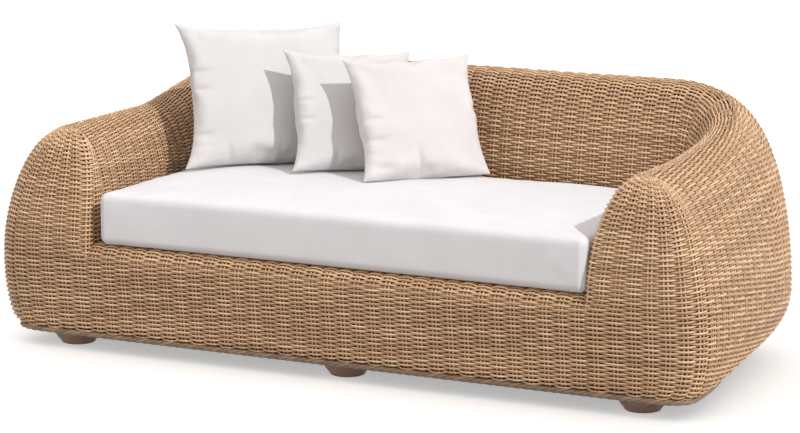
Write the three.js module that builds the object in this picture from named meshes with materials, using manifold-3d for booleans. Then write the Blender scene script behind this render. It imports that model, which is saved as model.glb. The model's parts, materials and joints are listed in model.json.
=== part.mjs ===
// Rattan garden sofa: a deep curved body of woven cane on an aluminium frame, with a box seat
// cushion and three loose knife-edge pillows. Millimetres, +Z up, +X along the seat, front at -Y,
// origin on the floor under the middle of the sofa.
import * as THREE from 'three';
import { mergeVertices } from 'three/addons/utils/BufferGeometryUtils.js';
import Module from 'manifold-3d';

const wasm = await Module();
wasm.setup();

// Plan of the rim: a C open to the front, drawn as its right half
const bodyDepth = 1007;
const tipHalfWidth = 857;
const sideBulge = 9;
const cornerWidth = 230;
const cornerDepth = 350;
const cornerRoundShare = 0.74;
const sideRoundShare = 0.35;

// Height of the rim, low on the arms and high along the back
const armHeight = 609;
const backHeight = 735;
const riseLead = 15;
const riseTail = 6;

// How far the woven wall swells out from the rim
const frontReach = 117;
const frontFootReach = 96;
const armReach = 194;
const cornerReach = 166;
const backReach = 120;
const cornerReachShare = 0.43;
const backReachTail = 36;
const innerReach = 131;
const frontFootShare = 0.8;
const rearFootShare = 0.36;
const shoulderShare = 0.55;
const bellyShoulderShare = 0.56;
const innerShoulderShare = 0.6;
const innerWaistShare = 0.7;
const frontShoulderShare = 0.35;
const tuckShare = 0.34;
const tuckEndShare = 0.12;
const wallFootShare = 0.7;
const bellyHeight = 200;
const frontBellyHeight = 300;
const postRoundPower = 3.2;
const innerPostRadius = 26;
const sharpCornerRadius = 3;

// Woven skin
const skinThickness = 5;
const seamGap = 0.3;
const sideEase = 1.5;
const crestEase = 4;
const borderDiameter = 16;
const borderBottom = 40;
const deckHeight = 302;
const deckThickness = 8;
const apronRollRadius = 38;
const apronLip = 74;
const cornerFadeHeight = 40;

// Frame tubes
const tubeWidth = 30;
const tubeHeight = 25;
const tubeWall = 2;
const postWidth = 22;
const crestTubeDiameter = 22;
const baseInset = 46;
const sideRailInset = 12;
const rearFootInset = 46;
const baseCornerRadius = 270;
const basePackHeight = 60;
const rearPostPast = 145;
const backPostPlaceShares = [-0.72, 0, 0.72];
const backPostNames = ['back_left_post', 'back_centre_post', 'back_right_post'];
const slatCount = 4;
const slatWidth = 40;

// Feet
const footTipInset = 7;
const frontFootInset = 126;
const cornerFootSetback = 284;
const centreFootSetback = 184;
const footTopDiameter = 126;
const footBottomDiameter = 90;
const footEdgeRadius = 6;
const footShoulderHeight = 34;
const screwDiameter = 8;
const screwHeadDiameter = 18;
const screwHeadHeight = 6;
const screwRecess = 15;
const screwRecessDiameter = 24;
const screwReach = 14;
const holeClearance = 0.4;

// Seat cushion
const cushionSideGap = 11;
const cushionRearGap = 20;
const cushionHeight = 152;
const cushionSetback = 11;
const cushionCrown = 15;
const cushionDrawIn = 7;
const cushionEdgeRadius = 30;
const edgeStepShare = 0.35;
const coverThickness = 4;
const coverEase = 0.5;
const zipHeight = 9;
const zipLengthShare = 0.7;

// Pillows: one large and two small, each placed by the middle of its bottom edge, measured from
// the left arm's and the backrest's inner walls at the deck, with its turn and tilt in degrees
const largePillowWidth = 498;
const largePillowHeight = 433;
const largePillowThickness = 136;
const smallPillowWidth = 380;
const smallPillowHeight = 363;
const smallPillowThickness = 110;
const cornerPillowFromArm = 258;
const cornerPillowFromBack = 212;
const cornerPillowTurn = 44;
const cornerPillowLean = 23;
const cornerPillowTilt = -1.5;
const middlePillowFromArm = 530;
const middlePillowFromBack = 202;
const middlePillowTurn = 46;
const middlePillowLean = 26;
const middlePillowTilt = -3.5;
const frontPillowFromArm = 761;
const frontPillowFromBack = 222;
const frontPillowTurn = 47;
const frontPillowLean = 29;
const frontPillowTilt = 0;
const pillowDrawInShare = 0.085;
const pillowFullness = 2.4;
const pillowEdgePower = 0.62;
const pillowZipShare = 0.55;
const pillowZipHeight = 5;
const pillowZipDepth = 16;

// How finely each form is drawn
const fanColumns = 7;
const frontColumns = 2;
const cornerColumns = 3;
const sideColumns = 12;
const backColumns = 8;
const wallRows = 11;
const innerRows = 8;
const pillowGrid = 13;
const pillowCoreGrid = 8;

// Colours read off the real thing
const caneColour = 0xb8926a;
const borderColour = 0xa9835c;
const aluminiumColour = 0xa9a8a2;
const footColour = 0x7a5a4c;
const coverColour = 0xeceae6;
const foamColour = 0xe9dfae;
const zipColour = 0xd8d5cf;
const steelColour = 0x8c8f92;

// Places worked out from the sizes above
const frontFaceY = -bodyDepth / 2;
const backFaceY = bodyDepth / 2;
const tipY = frontFaceY + frontReach;
const crestBackY = backFaceY - backReach;
const wideY = crestBackY - cornerDepth;
const sideLength = wideY - tipY;
const sideHalfWidth = tipHalfWidth + sideBulge;
const skinBottom = borderBottom + borderDiameter + seamGap;
const deckUnderside = deckHeight - deckThickness;
const degree = Math.PI / 180;

function bezier(a, b, c, d, t) {
  const s = 1 - t;
  return s * s * s * a + 3 * s * s * t * b + 3 * s * t * t * c + t * t * t * d;
}

function smooth(t) {
  const c = Math.min(Math.max(t, 0), 1);
  return c * c * (3 - 2 * c);
}

function mix(a, b, t) {
  return a + (b - a) * t;
}

// The rim's right half in plan, from the front end of the arm round to the middle of the back
const crestPlan = new THREE.CurvePath();
crestPlan.add(new THREE.CubicBezierCurve(
  new THREE.Vector2(tipHalfWidth, tipY),
  new THREE.Vector2(tipHalfWidth, tipY + sideLength * sideRoundShare),
  new THREE.Vector2(sideHalfWidth, wideY - sideLength * sideRoundShare),
  new THREE.Vector2(sideHalfWidth, wideY),
));
crestPlan.add(new THREE.CubicBezierCurve(
  new THREE.Vector2(sideHalfWidth, wideY),
  new THREE.Vector2(sideHalfWidth, wideY + cornerDepth * cornerRoundShare),
  new THREE.Vector2(sideHalfWidth - cornerWidth * (1 - cornerRoundShare), crestBackY),
  new THREE.Vector2(sideHalfWidth - cornerWidth, crestBackY),
));
crestPlan.add(new THREE.LineCurve(
  new THREE.Vector2(sideHalfWidth - cornerWidth, crestBackY),
  new THREE.Vector2(0, crestBackY),
));
const crestLength = crestPlan.getLength();
const sideRun = crestPlan.curves[0].getLength();
const cornerRun = crestPlan.curves[1].getLength();
const cornerEnd = sideRun + cornerRun;
const riseStart = sideRun - riseLead;
const riseEnd = cornerEnd + riseTail;
const cornerReachPlace = sideRun + cornerReachShare * cornerRun;
const backReachPlace = cornerEnd + backReachTail;
const tangentShare = 4e-4;

// A place on the rim at a distance along it from the arm's front end, right side
function crestAt(along) {
  const t = Math.min(Math.max(along / crestLength, 0), 1);
  const place = crestPlan.getPoint(t);
  const ahead = crestPlan.getPoint(Math.min(t + tangentShare, 1));
  const behind = crestPlan.getPoint(Math.max(t - tangentShare, 0));
  const tangent = ahead.sub(behind).normalize();
  const height = mix(armHeight, backHeight, smooth((along - riseStart) / (riseEnd - riseStart)));
  return { x: place.x, y: place.y, outX: tangent.y, outY: -tangent.x, height };
}

function reachAt(along) {
  const toCorner = mix(armReach, cornerReach, smooth(along / cornerReachPlace));
  const onward = (along - cornerReachPlace) / (backReachPlace - cornerReachPlace);
  return mix(toCorner, backReach, smooth(onward));
}

// Share of the reach that is left at the foot of the wall: large in front, small behind
function footShareAt(along) {
  return mix(frontFootShare, rearFootShare, smooth(along / cornerReachPlace));
}

// Outer wall at share v from the rim (0) over the belly to the foot of the wall (1)
function outerProfile(reach, top, footShare, v) {
  const belly = 0.7;
  if (v < belly) {
    const t = v / belly;
    return {
      out: bezier(0, shoulderShare * reach, reach, reach, t),
      z: bezier(top, top, mix(bellyHeight, top, bellyShoulderShare), bellyHeight, t),
    };
  }
  const t = (v - belly) / (1 - belly);
  const foot = footShare * reach;
  const drop = bellyHeight - skinBottom;
  return {
    out: bezier(reach, reach, mix(foot, reach, wallFootShare), foot, t),
    z: bezier(bellyHeight, bellyHeight - tuckShare * drop, skinBottom + tuckEndShare * drop, skinBottom, t),
  };
}

function solveShare(heightOf, z) {
  let low = 0;
  let high = 1;
  for (let i = 0; i < 40; i += 1) {
    const middle = (low + high) / 2;
    if (heightOf(middle) > z) low = middle;
    else high = middle;
  }
  return (low + high) / 2;
}

// How far the front face stands ahead of the rim's end at a height
function frontReachAt(z) {
  if (z > frontBellyHeight) {
    const waist = mix(frontBellyHeight, armHeight, frontShoulderShare);
    const t = solveShare((s) => bezier(armHeight, armHeight, waist, frontBellyHeight, s), z);
    return bezier(0, frontShoulderShare * frontReach, frontReach, frontReach, t);
  }
  const drop = frontBellyHeight - skinBottom;
  const t = smooth((frontBellyHeight - z) / drop);
  return mix(frontReach, frontFootReach, t);
}

// How far the inner wall lies inside the rim at a height
function innerReachAt(z, top) {
  if (z <= deckHeight) return innerReach;
  const waist = mix(deckHeight, top, innerWaistShare);
  const t = solveShare((s) => bezier(top, top, waist, deckHeight, s), z);
  return bezier(0, innerShoulderShare * innerReach, innerReach, innerReach, t);
}

// The arm's front post in plan at one height: column 0 is its outer side, 1 its inner side
const fanEnd = 0.5;
const flatEnd = 0.7;
const roundEnd = 0.8;
const panelSplit = 0.75;

function postPoint(column, z, out) {
  const ahead = frontReachAt(z);
  const inside = innerReachAt(z, armHeight);
  const fade = smooth((z - (deckHeight - cornerFadeHeight)) / cornerFadeHeight);
  const wanted = mix(sharpCornerRadius, innerPostRadius, fade);
  const radius = Math.min(wanted, inside / 2, ahead / 2);
  let side;
  let forward;
  if (column <= fanEnd) {
    const angle = (column / fanEnd) * Math.PI / 2;
    side = out * Math.pow(Math.max(Math.cos(angle), 0), 2 / postRoundPower);
    forward = ahead * Math.pow(Math.sin(angle), 2 / postRoundPower);
  } else if (column <= flatEnd) {
    side = -(inside - radius) * (column - fanEnd) / (flatEnd - fanEnd);
    forward = ahead;
  } else if (column <= roundEnd) {
    const angle = (column - flatEnd) / (roundEnd - flatEnd) * Math.PI / 2;
    side = -(inside - radius) - radius * Math.sin(angle);
    forward = ahead - radius * (1 - Math.cos(angle));
  } else {
    side = -inside;
    forward = (ahead - radius) * (1 - column) / (1 - roundEnd);
  }
  return new THREE.Vector3(tipHalfWidth + side, tipY - forward, z);
}

// Outer wall, right half: u below 0 runs round the front post, u above 0 along the rim
function outerWall(u, v) {
  if (u <= 0) {
    const { out, z } = outerProfile(armReach, armHeight, frontFootShare, v);
    if (v === 0) return new THREE.Vector3(tipHalfWidth, tipY, armHeight);
    return postPoint(-u, z, out);
  }
  const rim = crestAt(u);
  const { out, z } = outerProfile(reachAt(u), rim.height, footShareAt(u), v);
  return new THREE.Vector3(rim.x + rim.outX * out, rim.y + rim.outY * out, z);
}

// Inner wall, right half, from the rim (v 0) down to the underside of the deck (v 1)
const innerKnee = 0.94;
function innerWall(u, v) {
  const rim = crestAt(Math.max(u, 0));
  const waist = mix(deckHeight, rim.height, innerWaistShare);
  const t = Math.min(v / innerKnee, 1);
  let z = bezier(rim.height, rim.height, waist, deckHeight, t);
  if (v > innerKnee) z = mix(deckHeight, deckUnderside, (v - innerKnee) / (1 - innerKnee));
  if (u < 0) {
    if (v === 0) return new THREE.Vector3(tipHalfWidth - seamGap, tipY, armHeight);
    return postPoint(1 + u, z, 0).add(new THREE.Vector3(0, seamGap, 0));
  }
  const inside = v > innerKnee ? innerReach
    : bezier(0, innerShoulderShare * innerReach, innerReach, innerReach, t);
  const reach = inside + 3 * seamGap * Math.max(1 - v / innerKnee, 0);
  return new THREE.Vector3(rim.x - rim.outX * reach, rim.y + seamGap - rim.outY * reach, z);
}

function closedMesh(positions, indices) {
  const geometry = new THREE.BufferGeometry();
  geometry.setAttribute('position', new THREE.Float32BufferAttribute(positions, 3));
  geometry.setIndex(indices);
  return tidy(geometry);
}

// Shared vertices are joined and triangles without area dropped
function tidy(geometry) {
  const plain = geometry.clone();
  plain.deleteAttribute('normal');
  plain.deleteAttribute('uv');
  const merged = mergeVertices(plain, 1e-3);
  const old = merged.index.array;
  const kept = [];
  for (let i = 0; i < old.length; i += 3) {
    const [a, b, c] = [old[i], old[i + 1], old[i + 2]];
    if (a !== b && b !== c && c !== a) kept.push(a, b, c);
  }
  merged.setIndex(kept);
  return merged;
}

// A skin of even thickness behind a surface given at the crossings of two lists of parameters
function skin(surface, columns, rows, thickness, flip) {
  const wide = columns.length;
  const high = rows.length;
  const positions = [];
  const backs = [];
  const small = 1e-3;
  const first = columns[0];
  const last = columns[wide - 1];
  columns.forEach((u, i) => {
    const du = (columns[Math.min(i + 1, wide - 1)] - columns[Math.max(i - 1, 0)]) * small;
    rows.forEach((v) => {
      const place = surface(u, v);
      const ahead = surface(Math.min(u + du, last), Math.max(v, small));
      const across = ahead.sub(surface(Math.max(u - du, first), Math.max(v, small)));
      const down = surface(u, Math.min(v + small, 1)).sub(surface(u, Math.max(v - small, 0)));
      const normal = new THREE.Vector3().crossVectors(down, across).normalize();
      if (v === 0) normal.set(0, 0, flip ? -1 : 1);
      if (flip) normal.negate();
      positions.push(place.x, place.y, place.z);
      const back = place.clone().addScaledVector(normal, -thickness);
      backs.push(back.x, back.y, back.z);
    });
  });
  const indices = [];
  const shift = wide * high;
  const quad = (a, b, c, d) => indices.push(a, b, c, a, c, d);
  const at = (i, j) => i * high + j;
  for (let i = 0; i < wide - 1; i += 1) {
    for (let j = 0; j < high - 1; j += 1) {
      quad(at(i, j), at(i, j + 1), at(i + 1, j + 1), at(i + 1, j));
      quad(shift + at(i, j), shift + at(i + 1, j), shift + at(i + 1, j + 1), shift + at(i, j + 1));
    }
    quad(at(i, 0), at(i + 1, 0), shift + at(i + 1, 0), shift + at(i, 0));
    quad(at(i + 1, high - 1), at(i, high - 1), shift + at(i, high - 1), shift + at(i + 1, high - 1));
  }
  for (let j = 0; j < high - 1; j += 1) {
    quad(at(0, j + 1), at(0, j), shift + at(0, j), shift + at(0, j + 1));
    quad(at(wide - 1, j), at(wide - 1, j + 1), shift + at(wide - 1, j + 1), shift + at(wide - 1, j));
  }
  const geometry = closedMesh([...positions, ...backs], indices);
  if (flip) reverse(geometry);
  return geometry;
}

function reverse(geometry) {
  const index = geometry.index.array;
  for (let i = 0; i < index.length; i += 3) {
    const keep = index[i + 1];
    index[i + 1] = index[i + 2];
    index[i + 2] = keep;
  }
}

function mirrored(geometry) {
  const copy = geometry.clone();
  copy.scale(-1, 1, 1);
  reverse(copy);
  return copy;
}

function steps(from, to, count) {
  return Array.from({ length: count + 1 }, (_, i) => mix(from, to, i / count));
}

function toSolid(geometry) {
  const merged = tidy(geometry);
  return new wasm.Manifold(new wasm.Mesh({
    numProp: 3,
    vertProperties: new Float32Array(merged.attributes.position.array),
    triVerts: new Uint32Array(merged.index.array),
  }));
}

function fromSolid(solid) {
  const mesh = solid.getMesh();
  const geometry = new THREE.BufferGeometry();
  geometry.setAttribute('position', new THREE.BufferAttribute(new Float32Array(mesh.vertProperties), 3));
  geometry.setIndex(new THREE.BufferAttribute(new Uint32Array(mesh.triVerts), 1));
  return geometry;
}

function cut(geometry, cutters) {
  return fromSolid(cutters.reduce((solid, cutter) => solid.subtract(toSolid(cutter)), toSolid(geometry)));
}

// Keeps the biggest of the pieces a cut leaves
function largest(geometry) {
  const pieces = toSolid(geometry).decompose();
  return fromSolid(pieces.reduce((best, piece) => (piece.volume() > best.volume() ? piece : best)));
}

// A bar swept along points: its section is a list of [sideways, upwards] corners, with an
// optional inner section that makes it a tube open at both ends
function sweep(points, section, bore) {
  const rings = [section, ...(bore ? [bore] : [])];
  const positions = [];
  const count = section.length;
  points.forEach((point, i) => {
    const ahead = points[Math.min(i + 1, points.length - 1)];
    const behind = points[Math.max(i - 1, 0)];
    const along = new THREE.Vector3().subVectors(ahead, behind).normalize();
    const side = new THREE.Vector3(along.y, -along.x, 0).normalize();
    const up = new THREE.Vector3().crossVectors(side, along);
    rings.forEach((ring) => ring.forEach(([a, b]) => {
      const p = point.clone().addScaledVector(side, a).addScaledVector(up, b);
      positions.push(p.x, p.y, p.z);
    }));
  });
  const perPoint = rings.length * count;
  const indices = [];
  const quad = (a, b, c, d) => indices.push(a, b, c, a, c, d);
  for (let i = 0; i < points.length - 1; i += 1) {
    for (let k = 0; k < count; k += 1) {
      const n = (k + 1) % count;
      const a = i * perPoint;
      const b = a + perPoint;
      quad(a + k, b + k, b + n, a + n);
      if (bore) quad(a + count + k, a + count + n, b + count + n, b + count + k);
    }
  }
  const end = (points.length - 1) * perPoint;
  for (let k = 0; k < count; k += 1) {
    const n = (k + 1) % count;
    if (bore) {
      quad(k, n, count + n, count + k);
      quad(end + n, end + k, end + count + k, end + count + n);
    } else if (k > 0 && k < count - 1) {
      indices.push(0, k, k + 1, end, end + k + 1, end + k);
    }
  }
  const geometry = closedMesh(positions, indices);
  if (toSolid(geometry).volume() < 0) reverse(geometry);
  return geometry;
}

function rectangle(width, height) {
  const [a, b] = [width / 2, height / 2];
  return [[-a, -b], [a, -b], [a, b], [-a, b]];
}

function roundSection(diameter, sides) {
  return Array.from({ length: sides }, (_, k) => {
    const angle = (k + 0.5) / sides * 2 * Math.PI;
    return [Math.cos(angle) * diameter / 2, Math.sin(angle) * diameter / 2];
  });
}

// A straight tube between two places, its width level
function straightTube(from, to, width, height, wall) {
  const bore = rectangle(width - 2 * wall, height - 2 * wall);
  return sweep([from, to], rectangle(width, height), bore);
}

const sofa = new THREE.Group();
sofa.name = 'rattan_garden_sofa';

function add(name, geometry, colour, roughness, metalness) {
  const material = new THREE.MeshStandardMaterial({ color: colour, roughness, metalness });
  const mesh = new THREE.Mesh(tidy(geometry), material);
  mesh.name = name;
  sofa.add(mesh);
  return mesh;
}

const addCane = (name, geometry) => add(name, geometry, caneColour, 0.6, 0);
const addMetal = (name, geometry) => add(name, geometry, aluminiumColour, 0.4, 0.9);

// Woven walls
const postColumns = [
  ...steps(-panelSplit, -flatEnd, cornerColumns).slice(0, -1),
  ...steps(-flatEnd, -fanEnd, frontColumns).slice(0, -1),
  ...steps(-fanEnd, 0, fanColumns).slice(0, -1),
];
const outerColumns = [...postColumns, ...steps(0, cornerEnd, sideColumns)];
const outerRows = steps(0, 1, wallRows);
const outerRight = skin(outerWall, outerColumns, outerRows, skinThickness, false);
addCane('outer_weave_right', outerRight);
addCane('outer_weave_left', mirrored(outerRight));

const backHalf = crestLength - cornerEnd - seamGap;
function backOuter(u, v) {
  const p = outerWall(crestLength - Math.abs(u), v);
  return new THREE.Vector3(u > 0 ? -p.x : p.x, p.y, p.z);
}
function backInner(u, v) {
  const p = innerWall(crestLength - Math.abs(u), v);
  return new THREE.Vector3(u > 0 ? -p.x : p.x, p.y, p.z);
}
const backSteps = steps(-backHalf, backHalf, backColumns);
addCane('outer_weave_back', skin(backOuter, backSteps, outerRows, skinThickness, false));

const innerLead = 1e-3;
const innerColumns = [
  ...steps(panelSplit - 1 + innerLead, roundEnd - 1, cornerColumns).slice(0, -1),
  ...steps(roundEnd - 1, 0, frontColumns).slice(0, -1),
  ...steps(0, cornerEnd, sideColumns),
];
const innerSteps = [...steps(0, innerKnee, innerRows), 1];
const grownColumns = [-panelSplit - cornerColumns * innerLead, ...outerColumns];
const outerGrown = skin(outerWall, grownColumns, outerRows, skinThickness + seamGap, false);
const innerRight = largest(cut(
  skin(innerWall, innerColumns, innerSteps, skinThickness, true),
  [outerGrown],
));
addCane('inner_weave_right', innerRight);
addCane('inner_weave_left', mirrored(innerRight));
addCane('inner_weave_back', skin(backInner, backSteps, innerSteps, skinThickness, true));

// The apron closes the front between the posts and rolls back under the seat cushion
const apronHalf = tipHalfWidth - innerReach - sideEase;
const rollStart = deckHeight - apronRollRadius;
const rollShare = 0.45;
const lipShare = 0.15;
function apronWall(u, v) {
  const front = tipY - frontReachAt(rollStart);
  if (v < lipShare) {
    return new THREE.Vector3(u, mix(front + apronLip, front + apronRollRadius, v / lipShare), deckHeight);
  }
  if (v < rollShare) {
    const angle = (v - lipShare) / (rollShare - lipShare) * Math.PI / 2;
    const y = front + apronRollRadius * (1 - Math.sin(angle));
    return new THREE.Vector3(u, y, rollStart + apronRollRadius * Math.cos(angle));
  }
  const z = mix(rollStart, skinBottom, (v - rollShare) / (1 - rollShare));
  return new THREE.Vector3(u, tipY - frontReachAt(z), z);
}
const apronRows = [
  0,
  ...steps(lipShare, rollShare, cornerColumns).slice(0, -1),
  ...steps(rollShare, 1, cornerColumns),
];
const apronSteps = steps(-apronHalf, apronHalf, 1);
addCane('apron_weave', skin(apronWall, apronSteps, apronRows, skinThickness, false));

// The woven deck under the cushion fills the plan inside the inner walls
const lipEnd = tipY - frontReachAt(rollStart) + apronLip + seamGap;
const deckRight = [new THREE.Vector2(apronHalf, lipEnd)];
[...steps(0, cornerEnd, sideColumns), crestLength].forEach((along) => {
  const rim = crestAt(along);
  const inside = innerReach + sideEase;
  deckRight.push(new THREE.Vector2(rim.x - rim.outX * inside, rim.y - rim.outY * inside));
});
const deckLeft = deckRight.slice(0, -1).reverse().map((p) => new THREE.Vector2(-p.x, p.y));
const deckPlate = new THREE.ExtrudeGeometry(
  new THREE.Shape([...deckRight, ...deckLeft]),
  { depth: deckThickness, bevelEnabled: false },
);
deckPlate.translate(0, 0, deckUnderside);
addCane('seat_deck_weave', deckPlate);

// The border braid runs round the foot of the walls
const borderRight = [...postColumns.slice(cornerColumns), ...steps(0, crestLength, 2 * sideColumns)]
  .map((u) => {
    const p = outerWall(u, 1);
    const q = outerWall(u + seamGap / crestLength, 1).sub(p).normalize();
    return new THREE.Vector3(p.x - q.y * skinThickness / 2, p.y + q.x * skinThickness / 2, 0);
  });
borderRight.forEach((p) => p.setZ(borderBottom + borderDiameter / 2));
const borderLeft = borderRight.slice(0, -1).reverse().map((p) => new THREE.Vector3(-p.x, p.y, p.z));
const borderSides = 6;
add('border_braid', loop([...borderRight, ...borderLeft], roundSection(borderDiameter, borderSides)),
  borderColour, 0.6, 0);

// A ring swept along a closed level path
function loop(points, section) {
  const count = section.length;
  const total = points.length;
  const positions = [];
  points.forEach((point, i) => {
    const ahead = points[(i + 1) % total];
    const behind = points[(i + total - 1) % total];
    const along = new THREE.Vector3().subVectors(ahead, behind).normalize();
    section.forEach(([a, b]) => {
      positions.push(point.x + along.y * a, point.y - along.x * a, point.z + b);
    });
  });
  const indices = [];
  for (let i = 0; i < total; i += 1) {
    const next = (i + 1) % total;
    for (let k = 0; k < count; k += 1) {
      const n = (k + 1) % count;
      const [a, b] = [i * count, next * count];
      indices.push(a + k, b + k, b + n, a + k, b + n, a + n);
    }
  }
  const geometry = closedMesh(positions, indices);
  if (toSolid(geometry).volume() < 0) reverse(geometry);
  return geometry;
}

// Base frame: front rail across, two side rails that turn the rear corners, and a back rail
const railZ = basePackHeight + tubeHeight / 2;
const railTop = basePackHeight + tubeHeight;
const frontRailY = tipY - frontFootReach + baseInset;
const sideRailX = tipHalfWidth + rearFootShare * cornerReach - sideRailInset;
const backRailY = crestBackY + rearFootShare * backReach - baseInset / 2;
const railEndX = sideRailX - baseCornerRadius;
const railSection = rectangle(tubeWidth, tubeHeight);
const railBore = rectangle(tubeWidth - 2 * tubeWall, tubeHeight - 2 * tubeWall);
const grownRail = rectangle(tubeWidth + 2 * seamGap, tubeHeight + 2 * seamGap);
const at = (x, y, z) => new THREE.Vector3(x, y, z);

const frontRailEnd = sideRailX + tubeWidth / 2;
addMetal('base_front_rail',
  straightTube(at(-frontRailEnd, frontRailY, railZ), at(frontRailEnd, frontRailY, railZ),
    tubeWidth, tubeHeight, tubeWall));

const sideRailPoints = [at(sideRailX, frontRailY + tubeWidth / 2 + seamGap, railZ)];
const cornerSteps = 8;
steps(0, Math.PI / 2, cornerSteps).forEach((angle) => {
  sideRailPoints.push(at(
    railEndX + baseCornerRadius * Math.cos(angle),
    backRailY - baseCornerRadius * (1 - Math.sin(angle)),
    railZ,
  ));
});
const sideRail = sweep(sideRailPoints, railSection, railBore);
addMetal('base_right_rail', sideRail);
addMetal('base_left_rail', mirrored(sideRail));
const backRailEnd = railEndX - sideEase;
addMetal('base_back_rail',
  straightTube(at(-backRailEnd, backRailY, railZ), at(backRailEnd, backRailY, railZ),
    tubeWidth, tubeHeight, tubeWall));

// Cross tubes carry the feet, each foot held by a screw from below
const footSpacing = tipHalfWidth - footTipInset;
const rearSpacing = footSpacing - rearFootInset;
const frontFootY = frontFaceY + frontFootInset;
const cornerFootY = backFaceY - cornerFootSetback;
const centreFootY = backFaceY - centreFootSetback;
const footTop = basePackHeight - seamGap;
const roundSides = 16;
const screwSides = 8;

function footForm() {
  const bore = screwDiameter / 2 + holeClearance;
  const recess = screwRecessDiameter / 2;
  const bottom = footBottomDiameter / 2;
  return new THREE.LatheGeometry([
    new THREE.Vector2(recess, 0),
    new THREE.Vector2(bottom - footEdgeRadius, 0),
    new THREE.Vector2(bottom, footEdgeRadius),
    new THREE.Vector2(footTopDiameter / 2, footShoulderHeight),
    new THREE.Vector2(footTopDiameter / 2, footTop),
    new THREE.Vector2(bore, footTop),
    new THREE.Vector2(bore, screwRecess),
    new THREE.Vector2(recess, screwRecess),
    new THREE.Vector2(recess, 0),
  ], roundSides).rotateX(Math.PI / 2);
}

function screwForm() {
  const under = screwRecess - seamGap;
  return new THREE.LatheGeometry([
    new THREE.Vector2(0, under - screwHeadHeight),
    new THREE.Vector2(screwHeadDiameter / 2, under - screwHeadHeight),
    new THREE.Vector2(screwHeadDiameter / 2, under),
    new THREE.Vector2(screwDiameter / 2, under),
    new THREE.Vector2(screwDiameter / 2, basePackHeight + screwReach),
    new THREE.Vector2(0, basePackHeight + screwReach),
  ], screwSides).rotateX(Math.PI / 2);
}

function screwHole(x, y) {
  const hole = new THREE.CylinderGeometry(
    screwDiameter / 2 + holeClearance, screwDiameter / 2 + holeClearance, tubeHeight, screwSides,
  ).rotateX(Math.PI / 2);
  return hole.translate(x, y, basePackHeight);
}

const sideRailKeepOut = sweep(sideRailPoints, grownRail);
const crossSpecs = [
  { name: 'right', frontX: footSpacing, rearX: rearSpacing, rearFoot: cornerFootY },
  { name: 'centre', frontX: 0, rearX: 0, rearFoot: centreFootY },
  { name: 'left', frontX: -footSpacing, rearX: -rearSpacing, rearFoot: cornerFootY },
];
crossSpecs.forEach(({ name, frontX, rearX, rearFoot }) => {
  const centred = frontX === 0;
  const slope = (rearX - frontX) / (rearFoot - frontFootY);
  const start = frontRailY + tubeWidth / 2 * (1 + Math.abs(slope)) + seamGap;
  const end = centred ? backRailY - tubeWidth / 2 - seamGap : sideRailYAt(Math.abs(rearX));
  const xAt = (y) => frontX + slope * (y - frontFootY);
  const raw = straightTube(at(xAt(start), start, railZ), at(xAt(end), end, railZ),
    tubeWidth, tubeHeight, tubeWall);
  const cutters = [screwHole(frontX, frontFootY), screwHole(rearX, rearFoot)];
  if (!centred) cutters.push(frontX > 0 ? sideRailKeepOut : mirrored(sideRailKeepOut));
  addMetal(`base_cross_${name}`, cut(raw, cutters));
  [['front', frontX, frontFootY], ['rear', rearX, rearFoot]].forEach(([place, x, y]) => {
    add(`${place}_${name}_foot`, footForm(), footColour, 0.55, 0).position.set(x, y, 0);
    add(`${place}_${name}_foot_screw`, screwForm(), steelColour, 0.35, 0.9).position.set(x, y, 0);
  });
});

function sideRailYAt(x) {
  const across = x - railEndX;
  return backRailY - baseCornerRadius + Math.sqrt(baseCornerRadius ** 2 - across ** 2);
}

// The crest rail lies right under the woven rim, in three lengths butted end to end
const crestDrop = skinThickness + crestEase + crestTubeDiameter / 2;
const crestSides = 8;
const crestStart = crestTubeDiameter / 2;
const crestSection = roundSection(crestTubeDiameter, crestSides);
const crestBore = roundSection(crestTubeDiameter - 2 * tubeWall, crestSides);
const grownCrest = roundSection(crestTubeDiameter + 3 * seamGap, crestSides);
function crestPoints(from, to, count) {
  return steps(from, to, count).map((along) => {
    const rim = crestAt(along);
    return at(rim.x, rim.y, rim.height - crestDrop);
  });
}
const crestRightPoints = crestPoints(crestStart, cornerEnd, sideColumns);
const crestHalfBack = crestPoints(cornerEnd + crestEase, crestLength, backColumns / 2);
const crestBackPoints = [
  ...crestHalfBack,
  ...crestHalfBack.slice(0, -1).reverse().map((p) => at(-p.x, p.y, p.z)),
];
const crestRail = sweep(crestRightPoints, crestSection, crestBore);
addMetal('crest_rail_right', crestRail);
addMetal('crest_rail_left', mirrored(crestRail));
addMetal('crest_rail_back', sweep(crestBackPoints, crestSection, crestBore));

// Posts stand on the base rails and reach up to the crest rail
function postTube(from, to, cutters) {
  const shape = new THREE.Shape(rectangle(postWidth, postWidth).map(([a, b]) => new THREE.Vector2(a, b)));
  const bore = rectangle(postWidth - 2 * tubeWall, postWidth - 2 * tubeWall);
  shape.holes.push(new THREE.Path(bore.reverse().map(([a, b]) => new THREE.Vector2(a, b))));
  const direction = new THREE.Vector3().subVectors(to, from);
  const form = new THREE.ExtrudeGeometry(shape, { depth: direction.length(), bevelEnabled: false });
  const turn = new THREE.Quaternion().setFromUnitVectors(at(0, 0, 1), direction.normalize());
  form.applyQuaternion(turn).translate(from.x, from.y, from.z);
  return largest(cut(form, cutters));
}

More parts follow.
